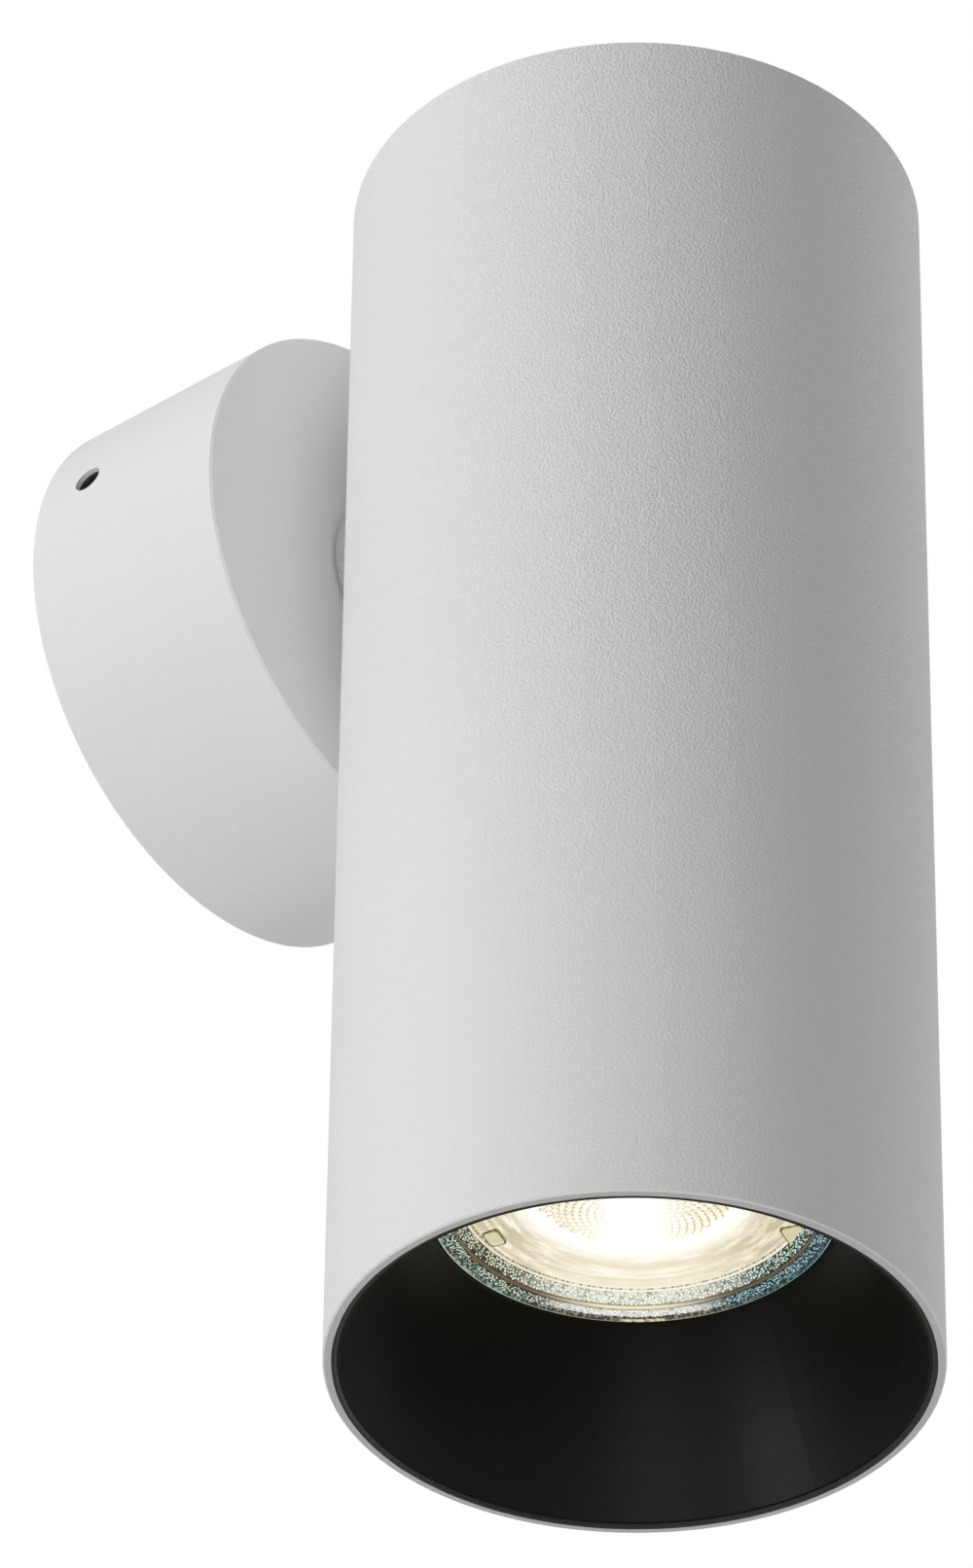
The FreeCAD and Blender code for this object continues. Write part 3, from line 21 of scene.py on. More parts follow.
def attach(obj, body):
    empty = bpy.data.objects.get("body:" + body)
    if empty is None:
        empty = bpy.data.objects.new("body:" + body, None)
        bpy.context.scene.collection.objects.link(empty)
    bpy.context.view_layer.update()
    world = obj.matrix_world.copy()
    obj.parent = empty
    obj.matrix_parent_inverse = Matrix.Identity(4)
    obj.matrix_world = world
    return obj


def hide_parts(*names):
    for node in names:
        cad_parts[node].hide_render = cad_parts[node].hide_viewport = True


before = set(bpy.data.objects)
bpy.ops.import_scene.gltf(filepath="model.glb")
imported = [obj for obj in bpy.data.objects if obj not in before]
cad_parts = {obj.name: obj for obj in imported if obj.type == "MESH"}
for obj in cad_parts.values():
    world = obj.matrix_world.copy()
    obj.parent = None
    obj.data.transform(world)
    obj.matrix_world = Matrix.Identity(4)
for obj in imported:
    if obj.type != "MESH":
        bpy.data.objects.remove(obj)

LOG = logging.getLogger("wall_light")
MM = 0.001
MOUTH = (0.0, -0.0715, -0.138)  # centre of the tube's open end
GOLDEN_ANGLE = math.pi * (3 - math.sqrt(5))

Triple = tuple[float, float, float]
Colour = Triple
Socket = bpy.types.NodeSocket
Tree = bpy.types.NodeTree
Material = bpy.types.Material
Mesh = bmesh.types.BMesh

WHITE = (1.0, 1.0, 1.0, 1.0)
NATURAL = (0.72, 0.70, 0.64)


class Rays(Enum):
    """Rays that see the surroundings as plain white."""

    CAMERA = "Is Camera Ray"
    GLOSSY = "Is Glossy Ray"
    TRANSMISSION = "Is Transmission Ray"


class Metal(Enum):
    """Plain metals, with base colour and roughness."""

    ZINC = ((0.52, 0.54, 0.55), 0.34)
    NICKEL = ((0.66, 0.64, 0.60), 0.22)
    BRASS = ((0.70, 0.50, 0.22), 0.30)
    SPRING = ((0.22, 0.23, 0.25), 0.36)
    BLACKED = ((0.060, 0.055, 0.050), 0.46)
    ALUMINIUM = ((0.70, 0.71, 0.72), 0.32)


class Net:
    """A node tree while it is being built."""

    def __init__(self, tree: Tree) -> None:
        """Takes over a tree."""
        self.tree = tree

    def add(self, kind: str, inputs: dict[Any, Any] | None = None, **settings: Any) -> bpy.types.Node:
        """Adds a node.

        Args:
            kind: the node's type name.
            inputs: what fills its inputs; see fill.
            **settings: properties of the node, by name.

        Returns:
            The new node.
        """
        node = self.tree.nodes.new(kind)
        for name, value in settings.items():
            setattr(node, name, value)
        self.fill(node.inputs, inputs or {})
        return node

    def fill(self, inputs: Any, values: dict[Any, Any]) -> None:
        """Fills inputs of a node.

        Args:
            inputs: the node's inputs.
            values: sockets to link from or plain values, by name or number of the input.
        """
        for name, value in values.items():
            if isinstance(value, Socket):
                self.tree.links.new(value, inputs[name])
            else:
                inputs[name].default_value = value

    def maths(self, operation: str, *values: Any) -> Socket:
        """Result of a Math node."""
        return self.add("ShaderNodeMath", dict(enumerate(values)), operation=operation).outputs[0]

    def times(self, first: Any, second: Any) -> Socket:
        """Product of two numbers."""
        return self.maths("MULTIPLY", first, second)

    def vector(self, operation: str, *values: Any) -> Socket:
        """Result of a Vector Math node, which is a number for LENGTH and DOT_PRODUCT."""
        node = self.add("ShaderNodeVectorMath", dict(enumerate(values)), operation=operation)
        return node.outputs["Value" if operation in ("LENGTH", "DOT_PRODUCT") else "Vector"]

    def split(self, vector: Socket) -> Any:
        """The numbers X, Y and Z of a vector, by name."""
        return self.add("ShaderNodeSeparateXYZ", {0: vector}).outputs

    def join(self, *values: Any) -> Socket:
        """A vector of up to three numbers."""
        return self.add("ShaderNodeCombineXYZ", dict(enumerate(values))).outputs[0]

    def ramp(self, value: Any, low: float, high: float, start: float = 0.0, end: float = 1.0) -> Socket:
        """Maps a range of values smoothly onto another.

        Args:
            value: what is mapped.
            low: value that gives start.
            high: value that gives end.
            start: result at low.
            end: result at high.

        Returns:
            The result.
        """
        inputs = {"Value": value, "From Min": low, "From Max": high, "To Min": start, "To Max": end}
        return self.add("ShaderNodeMapRange", inputs, interpolation_type="SMOOTHSTEP").outputs["Result"]

    def mix(self, share: Any, first: Any, second: Any, blend: str = "MIX") -> Socket:
        """Mixes two colours.

        Args:
            share: share of the second colour.
            first: first colour, a socket or three numbers.
            second: second colour, a socket or three numbers.
            blend: the node's blend type.

        Returns:
            The colour.
        """
        one, two = (colour if isinstance(colour, Socket) else (*colour, 1.0) for colour in (first, second))
        return self.add("ShaderNodeMix", {0: share, 6: one, 7: two}, data_type="RGBA",
                        blend_type=blend).outputs[2]

    def noise(self, vector: Socket, scale: Any, detail: float = 2.0, rough: float = 0.5) -> Socket:
        """Value of a Noise Texture."""
        inputs = {"Vector": vector, "Scale": scale, "Detail": detail, "Roughness": rough}
        return self.add("ShaderNodeTexNoise", inputs).outputs["Fac"]


class Group(Net):
    """A node group while it is being built."""

    def __init__(self, kind: str, name: str, inputs: dict[str, str], outputs: dict[str, str]) -> None:
        """Starts a group.

        Args:
            kind: "Shader" or "Geometry".
            name: the group's name.
            inputs: kind of each input, by name.
            outputs: kind of each output, by name.
        """
        super().__init__(bpy.data.node_groups.new(name, kind + "NodeTree"))
        for side, sockets in (("INPUT", inputs), ("OUTPUT", outputs)):
            for label, socket_kind in sockets.items():
                self.tree.interface.new_socket(label, in_out=side, socket_type="NodeSocket" + socket_kind)
        self.given = self.add("NodeGroupInput").outputs

    def end(self, **values: Socket) -> Tree:
        """Feeds the group's outputs, by name, and hands over its tree."""
        self.add("NodeGroupOutput", values)
        return self.tree


@cache
def sand_group() -> Tree:
    """Grain of a fine powder coat: rounded specks over a soft orange peel.

    Returns:
        A group with Vector and Speck in, and Height and Mask out.
    """
    net = Group("Shader", "Sand Grain", {"Vector": "Vector", "Speck": "Float"},
                {"Height": "Float", "Mask": "Float"})
    place = net.given["Vector"]
    cells = net.add("ShaderNodeTexVoronoi", {
        "Vector": place, "Scale": net.given["Speck"], "Smoothness": 0.6}, feature="SMOOTH_F1")
    speck = net.ramp(cells.outputs["Distance"], 0.1, 0.7, 1.0, 0.0)
    peel = net.noise(place, 520.0, 3.0, 0.55)
    return net.end(Height=net.maths("MULTIPLY_ADD", speck, 0.65, net.times(peel, 0.6)), Mask=speck)


@cache
def drift_group() -> Tree:
    """Slow change of tone over a surface, as handling and spraying leave.

    Returns:
        A group with Vector, Scale and Amount in, and Tone out, near 1.
    """
    net = Group("Shader", "Tone Drift", {"Vector": "Vector", "Scale": "Float", "Amount": "Float"},
                {"Tone": "Float"})
    wave = net.noise(net.given["Vector"], net.given["Scale"], 3.0, 0.6)
    double = net.times(net.given["Amount"], 2.0)
    return net.end(Tone=net.maths("MULTIPLY_ADD", net.maths("SUBTRACT", wave, 0.5), double, 1.0))


@cache
def lathe_group() -> Tree:
    """Fine rings about an axis, as a lathe or a spinning tool leaves them.

    Returns:
        A group with Radius, Length and Pitch in, and Height out.
    """
    net = Group("Shader", "Lathe Rings", {"Radius": "Float", "Length": "Float", "Pitch": "Float"},
                {"Height": "Float"})
    along = net.maths("ADD", net.given["Radius"], net.given["Length"])
    place = net.join(net.maths("DIVIDE", along, net.given["Pitch"]))
    return net.end(Height=net.noise(place, 1.0, 4.0, 0.7))


class Surface(Net):
    """A material's tree while it is being built, with its Principled shader."""

    def __init__(self, name: str) -> None:
        """Starts a material.

        Args:
            name: the material's name.
        """
        self.material = bpy.data.materials.new(name)
        self.material.use_nodes = True
        super().__init__(self.material.node_tree)
        self.tree.nodes.clear()
        self.shader = self.add("ShaderNodeBsdfPrincipled")
        self.output = self.add("ShaderNodeOutputMaterial", {"Surface": self.shader.outputs[0]})
        self.place = self.add("ShaderNodeTexCoord").outputs["Object"]

    def set(self, **values: Any) -> None:
        """Fills inputs of the shader; an underscore in a name stands for a space."""
        self.fill(self.shader.inputs, {name.replace("_", " "): value for name, value in values.items()})

    def shared(self, group: Tree, **values: Any) -> Any:
        """Places a shared group, fills its inputs and hands over its outputs."""
        return self.add("ShaderNodeGroup", values, node_tree=group).outputs

    def bump(self, height: Socket, distance: float) -> None:
        """Feeds the shader's normal from a height, of which 1 stands for the distance."""
        self.set(Normal=self.add("ShaderNodeBump", {"Height": height, "Distance": distance}).outputs[0])

    def grey(self, value: Socket) -> Socket:
        """A number as a grey."""
        return self.add("ShaderNodeCombineColor", dict.fromkeys(range(3), value)).outputs[0]

    def polar(self, centre: Triple | Vector, axis: str) -> tuple[Socket, Socket, Socket]:
        """Place of each point about an axis.

        Args:
            centre: a point on the axis.
            axis: "Y" or "Z".

        Returns:
            Radius in metres, turn from 0 to 1 and length along the axis in metres.
        """
        parts = self.split(self.vector("SUBTRACT", self.place, centre))
        u, v, length = (parts[name] for name in ("XYZ" if axis == "Z" else "XZY"))
        radius = self.maths("SQRT", self.maths("MULTIPLY_ADD", u, u, self.times(v, v)))
        turn = self.maths("MULTIPLY_ADD", self.maths("ARCTAN2", v, u), 0.5 / math.pi, 0.5)
        return radius, turn, length


def shade(colour: Colour, share: float) -> Colour:
    """A colour made darker or lighter by a share, at most white."""
    return tuple(min(channel * share, 1.0) for channel in colour)


class Zone:
    """A part of a painted surface that looks different."""

    def over(self, net: Surface, base: Socket) -> Socket:
        """Lays the zone over the paint.

        Args:
            net: the part's material.
            base: colour of the paint.

        Returns:
            The colour with the zone.
        """
        raise NotImplementedError


@dataclass(frozen=True)
class ShadedTappedHole(Zone):
    """A tapped hole across a painted part: a thread painted near black inside as the shade in the hole, and
    paint over its outer end.
    """

    centre: Triple
    polar: float
    radius: float
    reach: float
    pitch: float = 0.0007
    # near-black thread tones are painted shade in the hole; valley to crest paints the thread's relief as
    # shade
    shaded_valley: Colour = (0.012, 0.010, 0.008)
    crest: Colour = (0.07, 0.062, 0.052)

    def over(self, net: Surface, base: Socket) -> Socket:
        """Lays the thread, painted near black as shade in the hole, over the paint.

        Args:
            net: the part's material.
            base: colour of the paint.

        Returns:
            The colour with the hole.
        """
        turn = math.radians(self.polar)
        direction = (math.cos(turn), 0.0, math.sin(turn))
        moved = net.vector("SUBTRACT", net.place, self.centre)
        away = net.vector("LENGTH", net.vector("CROSS_PRODUCT", moved, direction))
        along = net.vector("DOT_PRODUCT", moved, direction)
        # a sine along the hole's axis paints the thread's relief as shade between valley and crest
        wave = net.maths("SINE", net.times(along, 2 * math.pi / self.pitch))
        shaded_thread = net.mix(net.maths("MULTIPLY_ADD", wave, 0.5, 0.5), self.shaded_valley, self.crest)
        wall = net.ramp(away, self.radius + 0.03 * MM, self.radius + 0.07 * MM, 1.0, 0.0)
        inside = net.ramp(net.maths("ABSOLUTE", along), self.reach - 0.1 * MM, self.reach, 1.0, 0.0)
        return net.mix(net.times(wall, inside), base, shaded_thread)


@dataclass(frozen=True)
class PaintedLightFace(Zone):
    """A flat face painted in a tone that stands in for the light or shade it gets: all that lies before a
    place along an axis.
    """

    axis: str
    limit: float
    # tone of the face: painted light where lighter than the coat, painted shade where darker
    colour: Colour

    def over(self, net: Surface, base: Socket) -> Socket:
        """Lays the face's painted light or painted shade over the paint."""
        place = net.split(net.place)[self.axis]
        return net.mix(net.ramp(place, self.limit, self.limit + 0.1 * MM, 1.0, 0.0), base, self.colour)


@dataclass(frozen=True)
class ShadedBore(Zone):
    """Near black painted on a tube's inside and over the inner edge of its mouth, as the shade there."""

    radius: float
    reach: float = 0.05
    # near black of the painted shade
    colour: Colour = (0.010, 0.009, 0.008)

    def over(self, net: Surface, base: Socket) -> Socket:
        """Lays the painted shade over the paint.

        Args:
            net: the part's material.
            base: colour of the paint.

        Returns:
            The colour with the bore.
        """
        radius, _, length = net.polar(MOUTH, "Z")
        edge = net.maths("ADD", radius, net.times(net.noise(net.place, 300.0), 0.12 * MM))
        bore = net.ramp(edge, self.radius, self.radius + 0.05 * MM, 1.0, 0.0)
        near = net.ramp(length, self.reach, self.reach + 1.0 * MM, 1.0, 0.0)
        return net.mix(net.times(bore, near), base, self.colour)


@dataclass(frozen=True)
class PowderCoat:
    """Fine textured paint, baked on metal.

    The grain is calmer below the first of the heights in calm, and full above the second.
    """

    name: str
    colour: Colour
    roughness: float = 0.62
    grain: float = 110e-6
    speck: float = 2800.0
    calm: tuple[float, float] | None = None
    drift: float = 0.012
    zones: tuple[Zone, ...] = ()

    def build(self) -> Material:
        """Builds the material.

        Returns:
            The finished material.
        """
        net = Surface(self.name)
        grain = net.shared(sand_group(), Vector=net.place, Speck=self.speck)
        drift = net.shared(drift_group(), Vector=net.place, Scale=28.0, Amount=self.drift)
        base = net.mix(grain["Mask"], shade(self.colour, 0.98), self.colour)
        for zone in self.zones:
            base = zone.over(net, base)
        net.set(
            Base_Color=net.mix(1.0, base, net.grey(drift["Tone"]), "MULTIPLY"),
            Roughness=net.ramp(grain["Mask"], 0.0, 1.0, self.roughness + 0.08, self.roughness))
        height = grain["Height"]
        if self.calm:
            tall = net.split(net.place)["Z"]
            height = net.times(height, net.ramp(tall, *self.calm, 0.45, 1.0))
        net.bump(height, self.grain)
        return net.material


@dataclass(frozen=True)
class TurnedMetal:
    """Bare or plated metal with the fine rings of turning about the wall's normal."""

    name: str
    metal: Metal
    pitch: float = 0.00025
    depth: float = 3e-6

    def build(self) -> Material:
        """Builds the material.

        Returns:
            The finished material.
        """
        colour, roughness = self.metal.value
        net = Surface(self.name)
        radius, _, length = net.polar((0.0, 0.0, 0.0), "Y")
        rings = net.shared(lathe_group(), Radius=radius, Length=length, Pitch=self.pitch)
        stain = net.noise(net.place, 180.0, 4.0, 0.6)
        net.set(
            Base_Color=net.mix(net.ramp(stain, 0.35, 0.65), shade(colour, 0.82), colour),
            Roughness=net.ramp(stain, 0.3, 0.7, roughness + 0.1, roughness - 0.04),
            Metallic=1.0)
        net.bump(rings["Height"], self.depth)
        return net.material


@dataclass(frozen=True)
class Moulding:
    """Moulded plastic, rubber or fired ceramic with a fine even grain."""

    name: str
    colour: Colour
    roughness: float = 0.5
    grain: float = 8e-6
    scale: float = 1400.0
    mottle: float = 0.05

    def build(self) -> Material:
        """Builds the material.

        Returns:
            The finished material.
        """
        net = Surface(self.name)
        grain = net.noise(net.place, self.scale, 4.0, 0.6)
        patch = net.noise(net.place, 90.0, 3.0, 0.5)
        dark, light = (shade(self.colour, share) for share in (1 - self.mottle, 1 + self.mottle))
        net.set(
            Base_Color=net.mix(net.ramp(patch, 0.3, 0.7), dark, light),
            Roughness=net.ramp(grain, 0.3, 0.7, self.roughness + 0.06, self.roughness - 0.06))
        net.bump(grain, self.grain)
        return net.material


@dataclass(frozen=True)
class SpunBlack:
    """Satin black paint over spun sheet, with painted light: a faint emission for the lamp's glow on the
    cone.
    """

    name: str
    colour: Colour = (0.0030, 0.0026, 0.0021)
    warmth: Colour = (1.5, 1.35, 1.2)
    # emission colour painted on as the lamp's light falling on the cone
    glow: Colour = (0.0032, 0.0026, 0.0019)

    def build(self) -> Material:
        """Builds the material.

        Returns:
            The finished material.
        """
        net = Surface(self.name)
        radius, _, length = net.polar(MOUTH, "Z")
        rings = net.shared(lathe_group(), Radius=radius, Length=length, Pitch=0.0009)["Height"]
        grain = net.shared(sand_group(), Vector=net.place, Speck=3200.0)
        warm = tuple(channel * share for channel, share in zip(self.colour, self.warmth))
        # the emission is painted light: the lamp's glow falling on the cone
        net.set(
            Base_Color=net.mix(grain["Mask"], self.colour, warm),
            Roughness=net.ramp(rings, 0.3, 0.7, 0.46, 0.40), Specular_IOR_Level=0.12,
            Emission_Color=net.mix(grain["Mask"], shade(self.glow, 0.6), self.glow),
            Emission_Strength=1.0)
        net.bump(net.maths("MULTIPLY_ADD", rings, 0.35, grain["Height"]), 9e-6)
        return net.material


def put(name: str, data: Any) -> bpy.types.Object:
    """Adds an object to the scene.

    Args:
        name: the object's name.
        data: its mesh, light or camera.

    Returns:
        The new object.
    """
    thing = bpy.data.objects.new(name, data)
    bpy.context.scene.collection.objects.link(thing)
    return thing


def paint(material: Material, *nodes: str) -> None:
    """Gives solids of the frame their finish.

    Args:
        material: finish for all their faces.
        *nodes: names of the solids.
    """
    for node in nodes:
        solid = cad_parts[node]
        if not solid.material_slots:
            solid.data.materials.append(material)
        for slot in solid.material_slots:
            slot.material = material
        LOG.info("dressed %s in %s", node, material.name)


@dataclass
class Canopy:
    """The round cup on the wall, its set screws and what it hides."""

    white: Colour = (0.84, 0.835, 0.825)
    grain: float = 12e-6
    # the front face is painted lighter than the cup as painted light, and the set screw's hole near black as
    # painted shade
    zones: tuple[Zone, ...] = (PaintedLightFace("Y", -0.03095, (0.95, 0.945, 0.935)),
                               ShadedTappedHole((0.0, -0.0082, 0.0), 166.5, 0.002, 0.0368))

    def dress(self) -> None:
        """Paints the cup and everything that stays on the wall."""
        coat = PowderCoat("canopy_white", self.white, grain=self.grain, zones=self.zones)
        paint(coat.build(), "canopy_shell")
        paint(TurnedMetal("set_screw_black", Metal.BLACKED).build(), "canopy_set_screws")
        paint(TurnedMetal("bracket_zinc", Metal.ZINC, 0.0008, 2e-6).build(), "wall_bracket")
        paint(TurnedMetal("screw_zinc", Metal.ZINC, 0.0002).build(),
              "stop_pin", "earth_screw", "terminal_screws", "terminal_fixing_screws")
        paint(TurnedMetal("terminal_brass", Metal.BRASS, 0.0002).build(), "earth_washer", "terminal_barrels")
        paint(Moulding("bearing_natural", NATURAL, 0.42).build(), "pivot_bush")
        paint(Moulding("bush_rubber", (0.03, 0.03, 0.032), 0.66).build(), "cable_bush")
        paint(Moulding("terminal_ivory", (0.74, 0.72, 0.66), 0.45).build(), "terminal_block")


@dataclass
class Head:
    """The tube with its pivot, cap, baffle, strap and lamp holder."""

    white: Colour = (0.80, 0.795, 0.785)
    calm: tuple[float, float] = (-0.12, -0.03)
    # the tube's end face is painted darker as painted shade, and the inside near black as a painted shade
    # line at the mouth
    zones: tuple[Zone, ...] = (PaintedLightFace("Z", MOUTH[2], (0.58, 0.575, 0.57)), ShadedBore(0.03648))

    def dress(self) -> None:
        """Paints every solid that turns with the tube, apart from the neck."""
        coat = PowderCoat("tube_white", self.white, calm=self.calm, zones=self.zones)
        paint(coat.build(), "tube_housing")
        paint(PowderCoat("cap_white", self.white).build(), "end_cap")
        paint(TurnedMetal("stud_zinc", Metal.ZINC, 0.0002).build(),
              "pivot_stud", "friction_washer", "stop_washer", "lock_nut", "holder_screws")
        paint(TurnedMetal("spring_blue", Metal.SPRING, 0.0004).build(), "disc_spring", "baffle_springs")
        paint(TurnedMetal("strap_zinc", Metal.ZINC, 0.0008, 2e-6).build(), "lamp_bracket")
        paint(Moulding("washer_natural", NATURAL, 0.42).build(), "thrust_washer", "stud_sleeve")
        paint(TurnedMetal("saddle_aluminium", Metal.ALUMINIUM, 0.0005).build(),
              "inner_saddle", "baffle_rivets")
        paint(Moulding("holder_steatite", (0.76, 0.73, 0.66), 0.7, 14e-6, 900.0, 0.04).build(), "lamp_holder")
        paint(TurnedMetal("contact_brass", Metal.BRASS, 0.0004).build(), "holder_contacts")
        paint(SpunBlack("baffle_black").build(), "baffle")


def adopt(name: str, mesh: bpy.types.Mesh, body: str) -> bpy.types.Object:
    """Makes a piece of a plain mesh and lets it ride on a body.

    Args:
        name: the piece's name.
        mesh: its mesh, with its material.
        body: the body that carries it.

    Returns:
        The new object.
    """
    for polygon in mesh.polygons:
        polygon.use_smooth = True
    piece = put(name, mesh)
    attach(piece, body)
    LOG.info("made %s with %d faces", name, len(mesh.polygons))
    return piece


def closed_mesh(name: str, shape: Mesh, material: Material) -> bpy.types.Mesh:
    """Turns a closed shape into a plain mesh whose faces look outward.

    Args:
        name: the mesh's name.
        shape: the shape, which is freed.
        material: its finish.

    Returns:
        The plain mesh.
    """
    mesh = bpy.data.meshes.new(name)
    bmesh.ops.recalc_face_normals(shape, faces=shape.faces)
    shape.to_mesh(mesh)
    shape.free()
    mesh.materials.append(material)
    return mesh


def circle(steps: int) -> list[tuple[float, float]]:
    """Cosine and sine of turns that are spread evenly over a circle."""
    turns = (2 * math.pi * index / steps for index in range(steps))
    return [(math.cos(turn), math.sin(turn)) for turn in turns]


def join_rings(mesh: Mesh, rings: list[list[Any]]) -> None:
    """Lays a row of faces between each ring of vertices and the next.

    Args:
        mesh: the mesh of the vertices.
        rings: rings of equally many vertices.
    """
    for one, two in zip(rings, rings[1:]):
        for i in range(len(one)):
            j = (i + 1) % len(one)
            mesh.faces.new((one[i], one[j], two[j], two[i]))


@dataclass
class Neck:
    """The short neck between canopy and tube, hollowed to the tube's round. Sizes are in millimetres."""

    # darker than the tube's white: painted shade between canopy and tube
    white: Colour = (0.66, 0.65, 0.65)
    radius: float = 13.5
    bore: float = 5.4
    back: float = -31.55
    edge: float = 0.3
    tube_axis: float = -71.5
    seat_radius: float = 37.4
    steps: int = 96

    def build(self) -> None:
        """Makes the neck, ring by ring; a ring without a back lies a hair inside the tube's wall."""
        mesh = bmesh.new()
        rings = []
        for radius, back in ((self.bore, self.back), (self.radius - self.edge, self.back),
                             (self.radius, self.back - self.edge), (self.radius, None), (self.bore, None)):
            rings.append([])
            for x, z in ((radius * cosine, radius * sine) for cosine, sine in circle(self.steps)):
                y = self.tube_axis + math.sqrt(self.seat_radius ** 2 - x ** 2) if back is None else back
                rings[-1].append(mesh.verts.new(Vector((x, y, z)) * MM))
        join_rings(mesh, rings + rings[:1])
        coat = PowderCoat("neck_white", self.white)
        neck = adopt("neck", closed_mesh("neck", mesh, coat.build()), "head")
        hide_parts("saddle_spacer")


class Repeat(Group):
    """A geometry node tree that sets small domes on points."""

    def __init__(self, name: str, inputs: dict[str, str]) -> None:
        """Starts a tree.

        Args:
            name: the tree's name.
            inputs: kind of each input of its own, by name; all trees have Geometry, Seed and Material.
        """
        inputs = {"Geometry": "Geometry", **inputs, "Seed": "Int", "Material": "Material"}
        super().__init__("Geometry", name, inputs, {"Geometry": "Geometry"})

    def store(self, geometry: Socket, domain: str, name: str, value: Socket) -> Socket:
        """Keeps a number on a geometry for its material.

        Args:
            geometry: what gets the number.
            domain: "POINT" or "INSTANCE".
            name: the number's name.
            value: the number.

        Returns:
            The geometry with the number.
        """
        inputs = {"Geometry": geometry, "Name": name, "Value": value}
        return self.add("GeometryNodeStoreNamedAttribute", inputs, data_type="FLOAT",
                        domain=domain).outputs[0]

    def random(self, low: float, high: float) -> Socket:
        """A random number for each point or copy."""
        inputs = {2: low, 3: high, "Seed": self.given["Seed"]}
        return self.add("FunctionNodeRandomValue", inputs, data_type="FLOAT").outputs[1]

    def dome(self, segments: int, rings: int) -> Socket:
        """Upper half of a unit ball, with how far up each point is kept as "rise".

        Args:
            segments: sides of the dome.
            rings: rings of the whole ball.

        Returns:
            The dome.
        """
        ball = self.add("GeometryNodeMeshUVSphere", {"Segments": segments, "Rings": rings}).outputs["Mesh"]
        height = self.split(self.add("GeometryNodeInputPosition").outputs[0])["Z"]
        lower = self.add("FunctionNodeCompare", {0: height, 1: -0.01}, operation="LESS_THAN",
                         data_type="FLOAT").outputs[0]
        half = self.add("GeometryNodeDeleteGeometry", {"Geometry": ball, "Selection": lower}).outputs[0]
        return self.store(half, "POINT", "rise", height)

    def finish(self, points: Socket, dome: Socket, rotation: Any, wide: Socket, tall: Socket) -> Tree:
        """Sets the domes and ends the tree: a tone for each copy, real mesh and its material.

        Args:
            points: where the domes stand.
            dome: their mesh.
            rotation: how they are turned.
            wide: their radius.
            tall: their height.

        Returns:
            The geometry node tree.
        """
        copies = self.add("GeometryNodeInstanceOnPoints", {
            "Points": points, "Instance": dome, "Rotation": rotation, "Scale": self.join(wide, wide, tall)})
        toned = self.store(copies.outputs[0], "INSTANCE", "tone", self.random(0.0, 1.0))
        real = self.add("GeometryNodeRealizeInstances", {"Geometry": toned}).outputs[0]
        dressed = self.add("GeometryNodeSetMaterial",
                           {"Geometry": real, "Material": self.given["Material"]})
        return self.end(Geometry=dressed.outputs[0])


def stipple_tree() -> Tree:
    """Small domes scattered over the faces of a mesh.

    Returns:
        The geometry node tree.
    """
    net = Repeat("Stippled Band", {"Spacing": "Float", "Pip Radius": "Float", "Pip Height": "Float"})
    spacing = net.given["Spacing"]
    points = net.add("GeometryNodeDistributePointsOnFaces", {
        "Mesh": net.given["Geometry"], "Distance Min": spacing,
        "Density Max": net.maths("DIVIDE", 4.0, net.times(spacing, spacing)),
        "Seed": net.given["Seed"]}, distribute_method="POISSON").outputs
    wide = net.times(net.given["Pip Radius"], net.random(0.8, 1.15))
    return net.finish(points["Points"], net.dome(7, 4), points["Rotation"], wide, net.given["Pip Height"])


def sunflower_tree() -> Tree:
    """Small lenses in crossing spirals over a crowned disc that faces down.

    Returns:
        The geometry node tree.
    """
    net = Repeat("Crowned Lens Array", {
        "Count": "Int", "Spread": "Float", "Facet Radius": "Float", "Facet Height": "Float",
        "Centre": "Vector", "Crown": "Float"})
    index = net.add("GeometryNodeInputIndex").outputs[0]
    radius = net.times(net.maths("SQRT", net.maths("ADD", index, 0.5)), net.given["Spread"])
    angle = net.times(index, GOLDEN_ANGLE)
    x, y = (net.times(radius, net.maths(kind, angle)) for kind in ("COSINE", "SINE"))
    place = net.join(x, y, net.times(net.times(radius, radius), net.given["Crown"]))
    points = net.add("GeometryNodePoints", {
        "Count": net.given["Count"], "Position": net.vector("ADD", place, net.given["Centre"])})
    return net.finish(points.outputs[0], net.dome(10, 6), (math.pi, 0.0, 0.0), net.given["Facet Radius"],
                      net.given["Facet Height"])


def grow(shape: Mesh, tree: Tree, values: dict[str, Any]) -> bpy.types.Mesh:
    """Runs a geometry node tree once and keeps what it makes as a plain mesh.

    Args:
        shape: the mesh that the tree starts from, which is freed.
        tree: the geometry node tree.
        values: values of all its inputs, by name.

    Returns:
        The plain mesh.
    """
    seed_mesh = bpy.data.meshes.new("seed")
    shape.to_mesh(seed_mesh)
    shape.free()
    carrier = put("seed", seed_mesh)
    modifier = carrier.modifiers.new("repeat", "NODES")
    modifier.node_group = tree
    sockets = {item.name: item.identifier for item in tree.interface.items_tree if item.in_out == "INPUT"}
    for name, value in values.items():
        modifier[sockets[name]] = value
    graph = bpy.context.evaluated_depsgraph_get()
    grown = bpy.data.meshes.new_from_object(carrier.evaluated_get(graph))
    bpy.data.objects.remove(carrier)
    return grown


@dataclass(frozen=True)
class Glow:
    """Lit plastic or glass: its tint on the left, on the right and a painted highlight across its middle.

    The coating of the lens turns from grey green to blue from one side of the lamp to the other, and is
    washed out by a painted highlight between its core and its reach.
    """

    left: Colour
    right: Colour
    facing_highlight: Colour
    core: float
    reach: float


@dataclass(frozen=True)
class Tab:
    """A locking tab: radius in millimetres, polar angle and own turn in degrees, depth and width."""

    radius: float
    polar: float
    spin: float
    deep: float = 1.8
    wide: float = 2.8


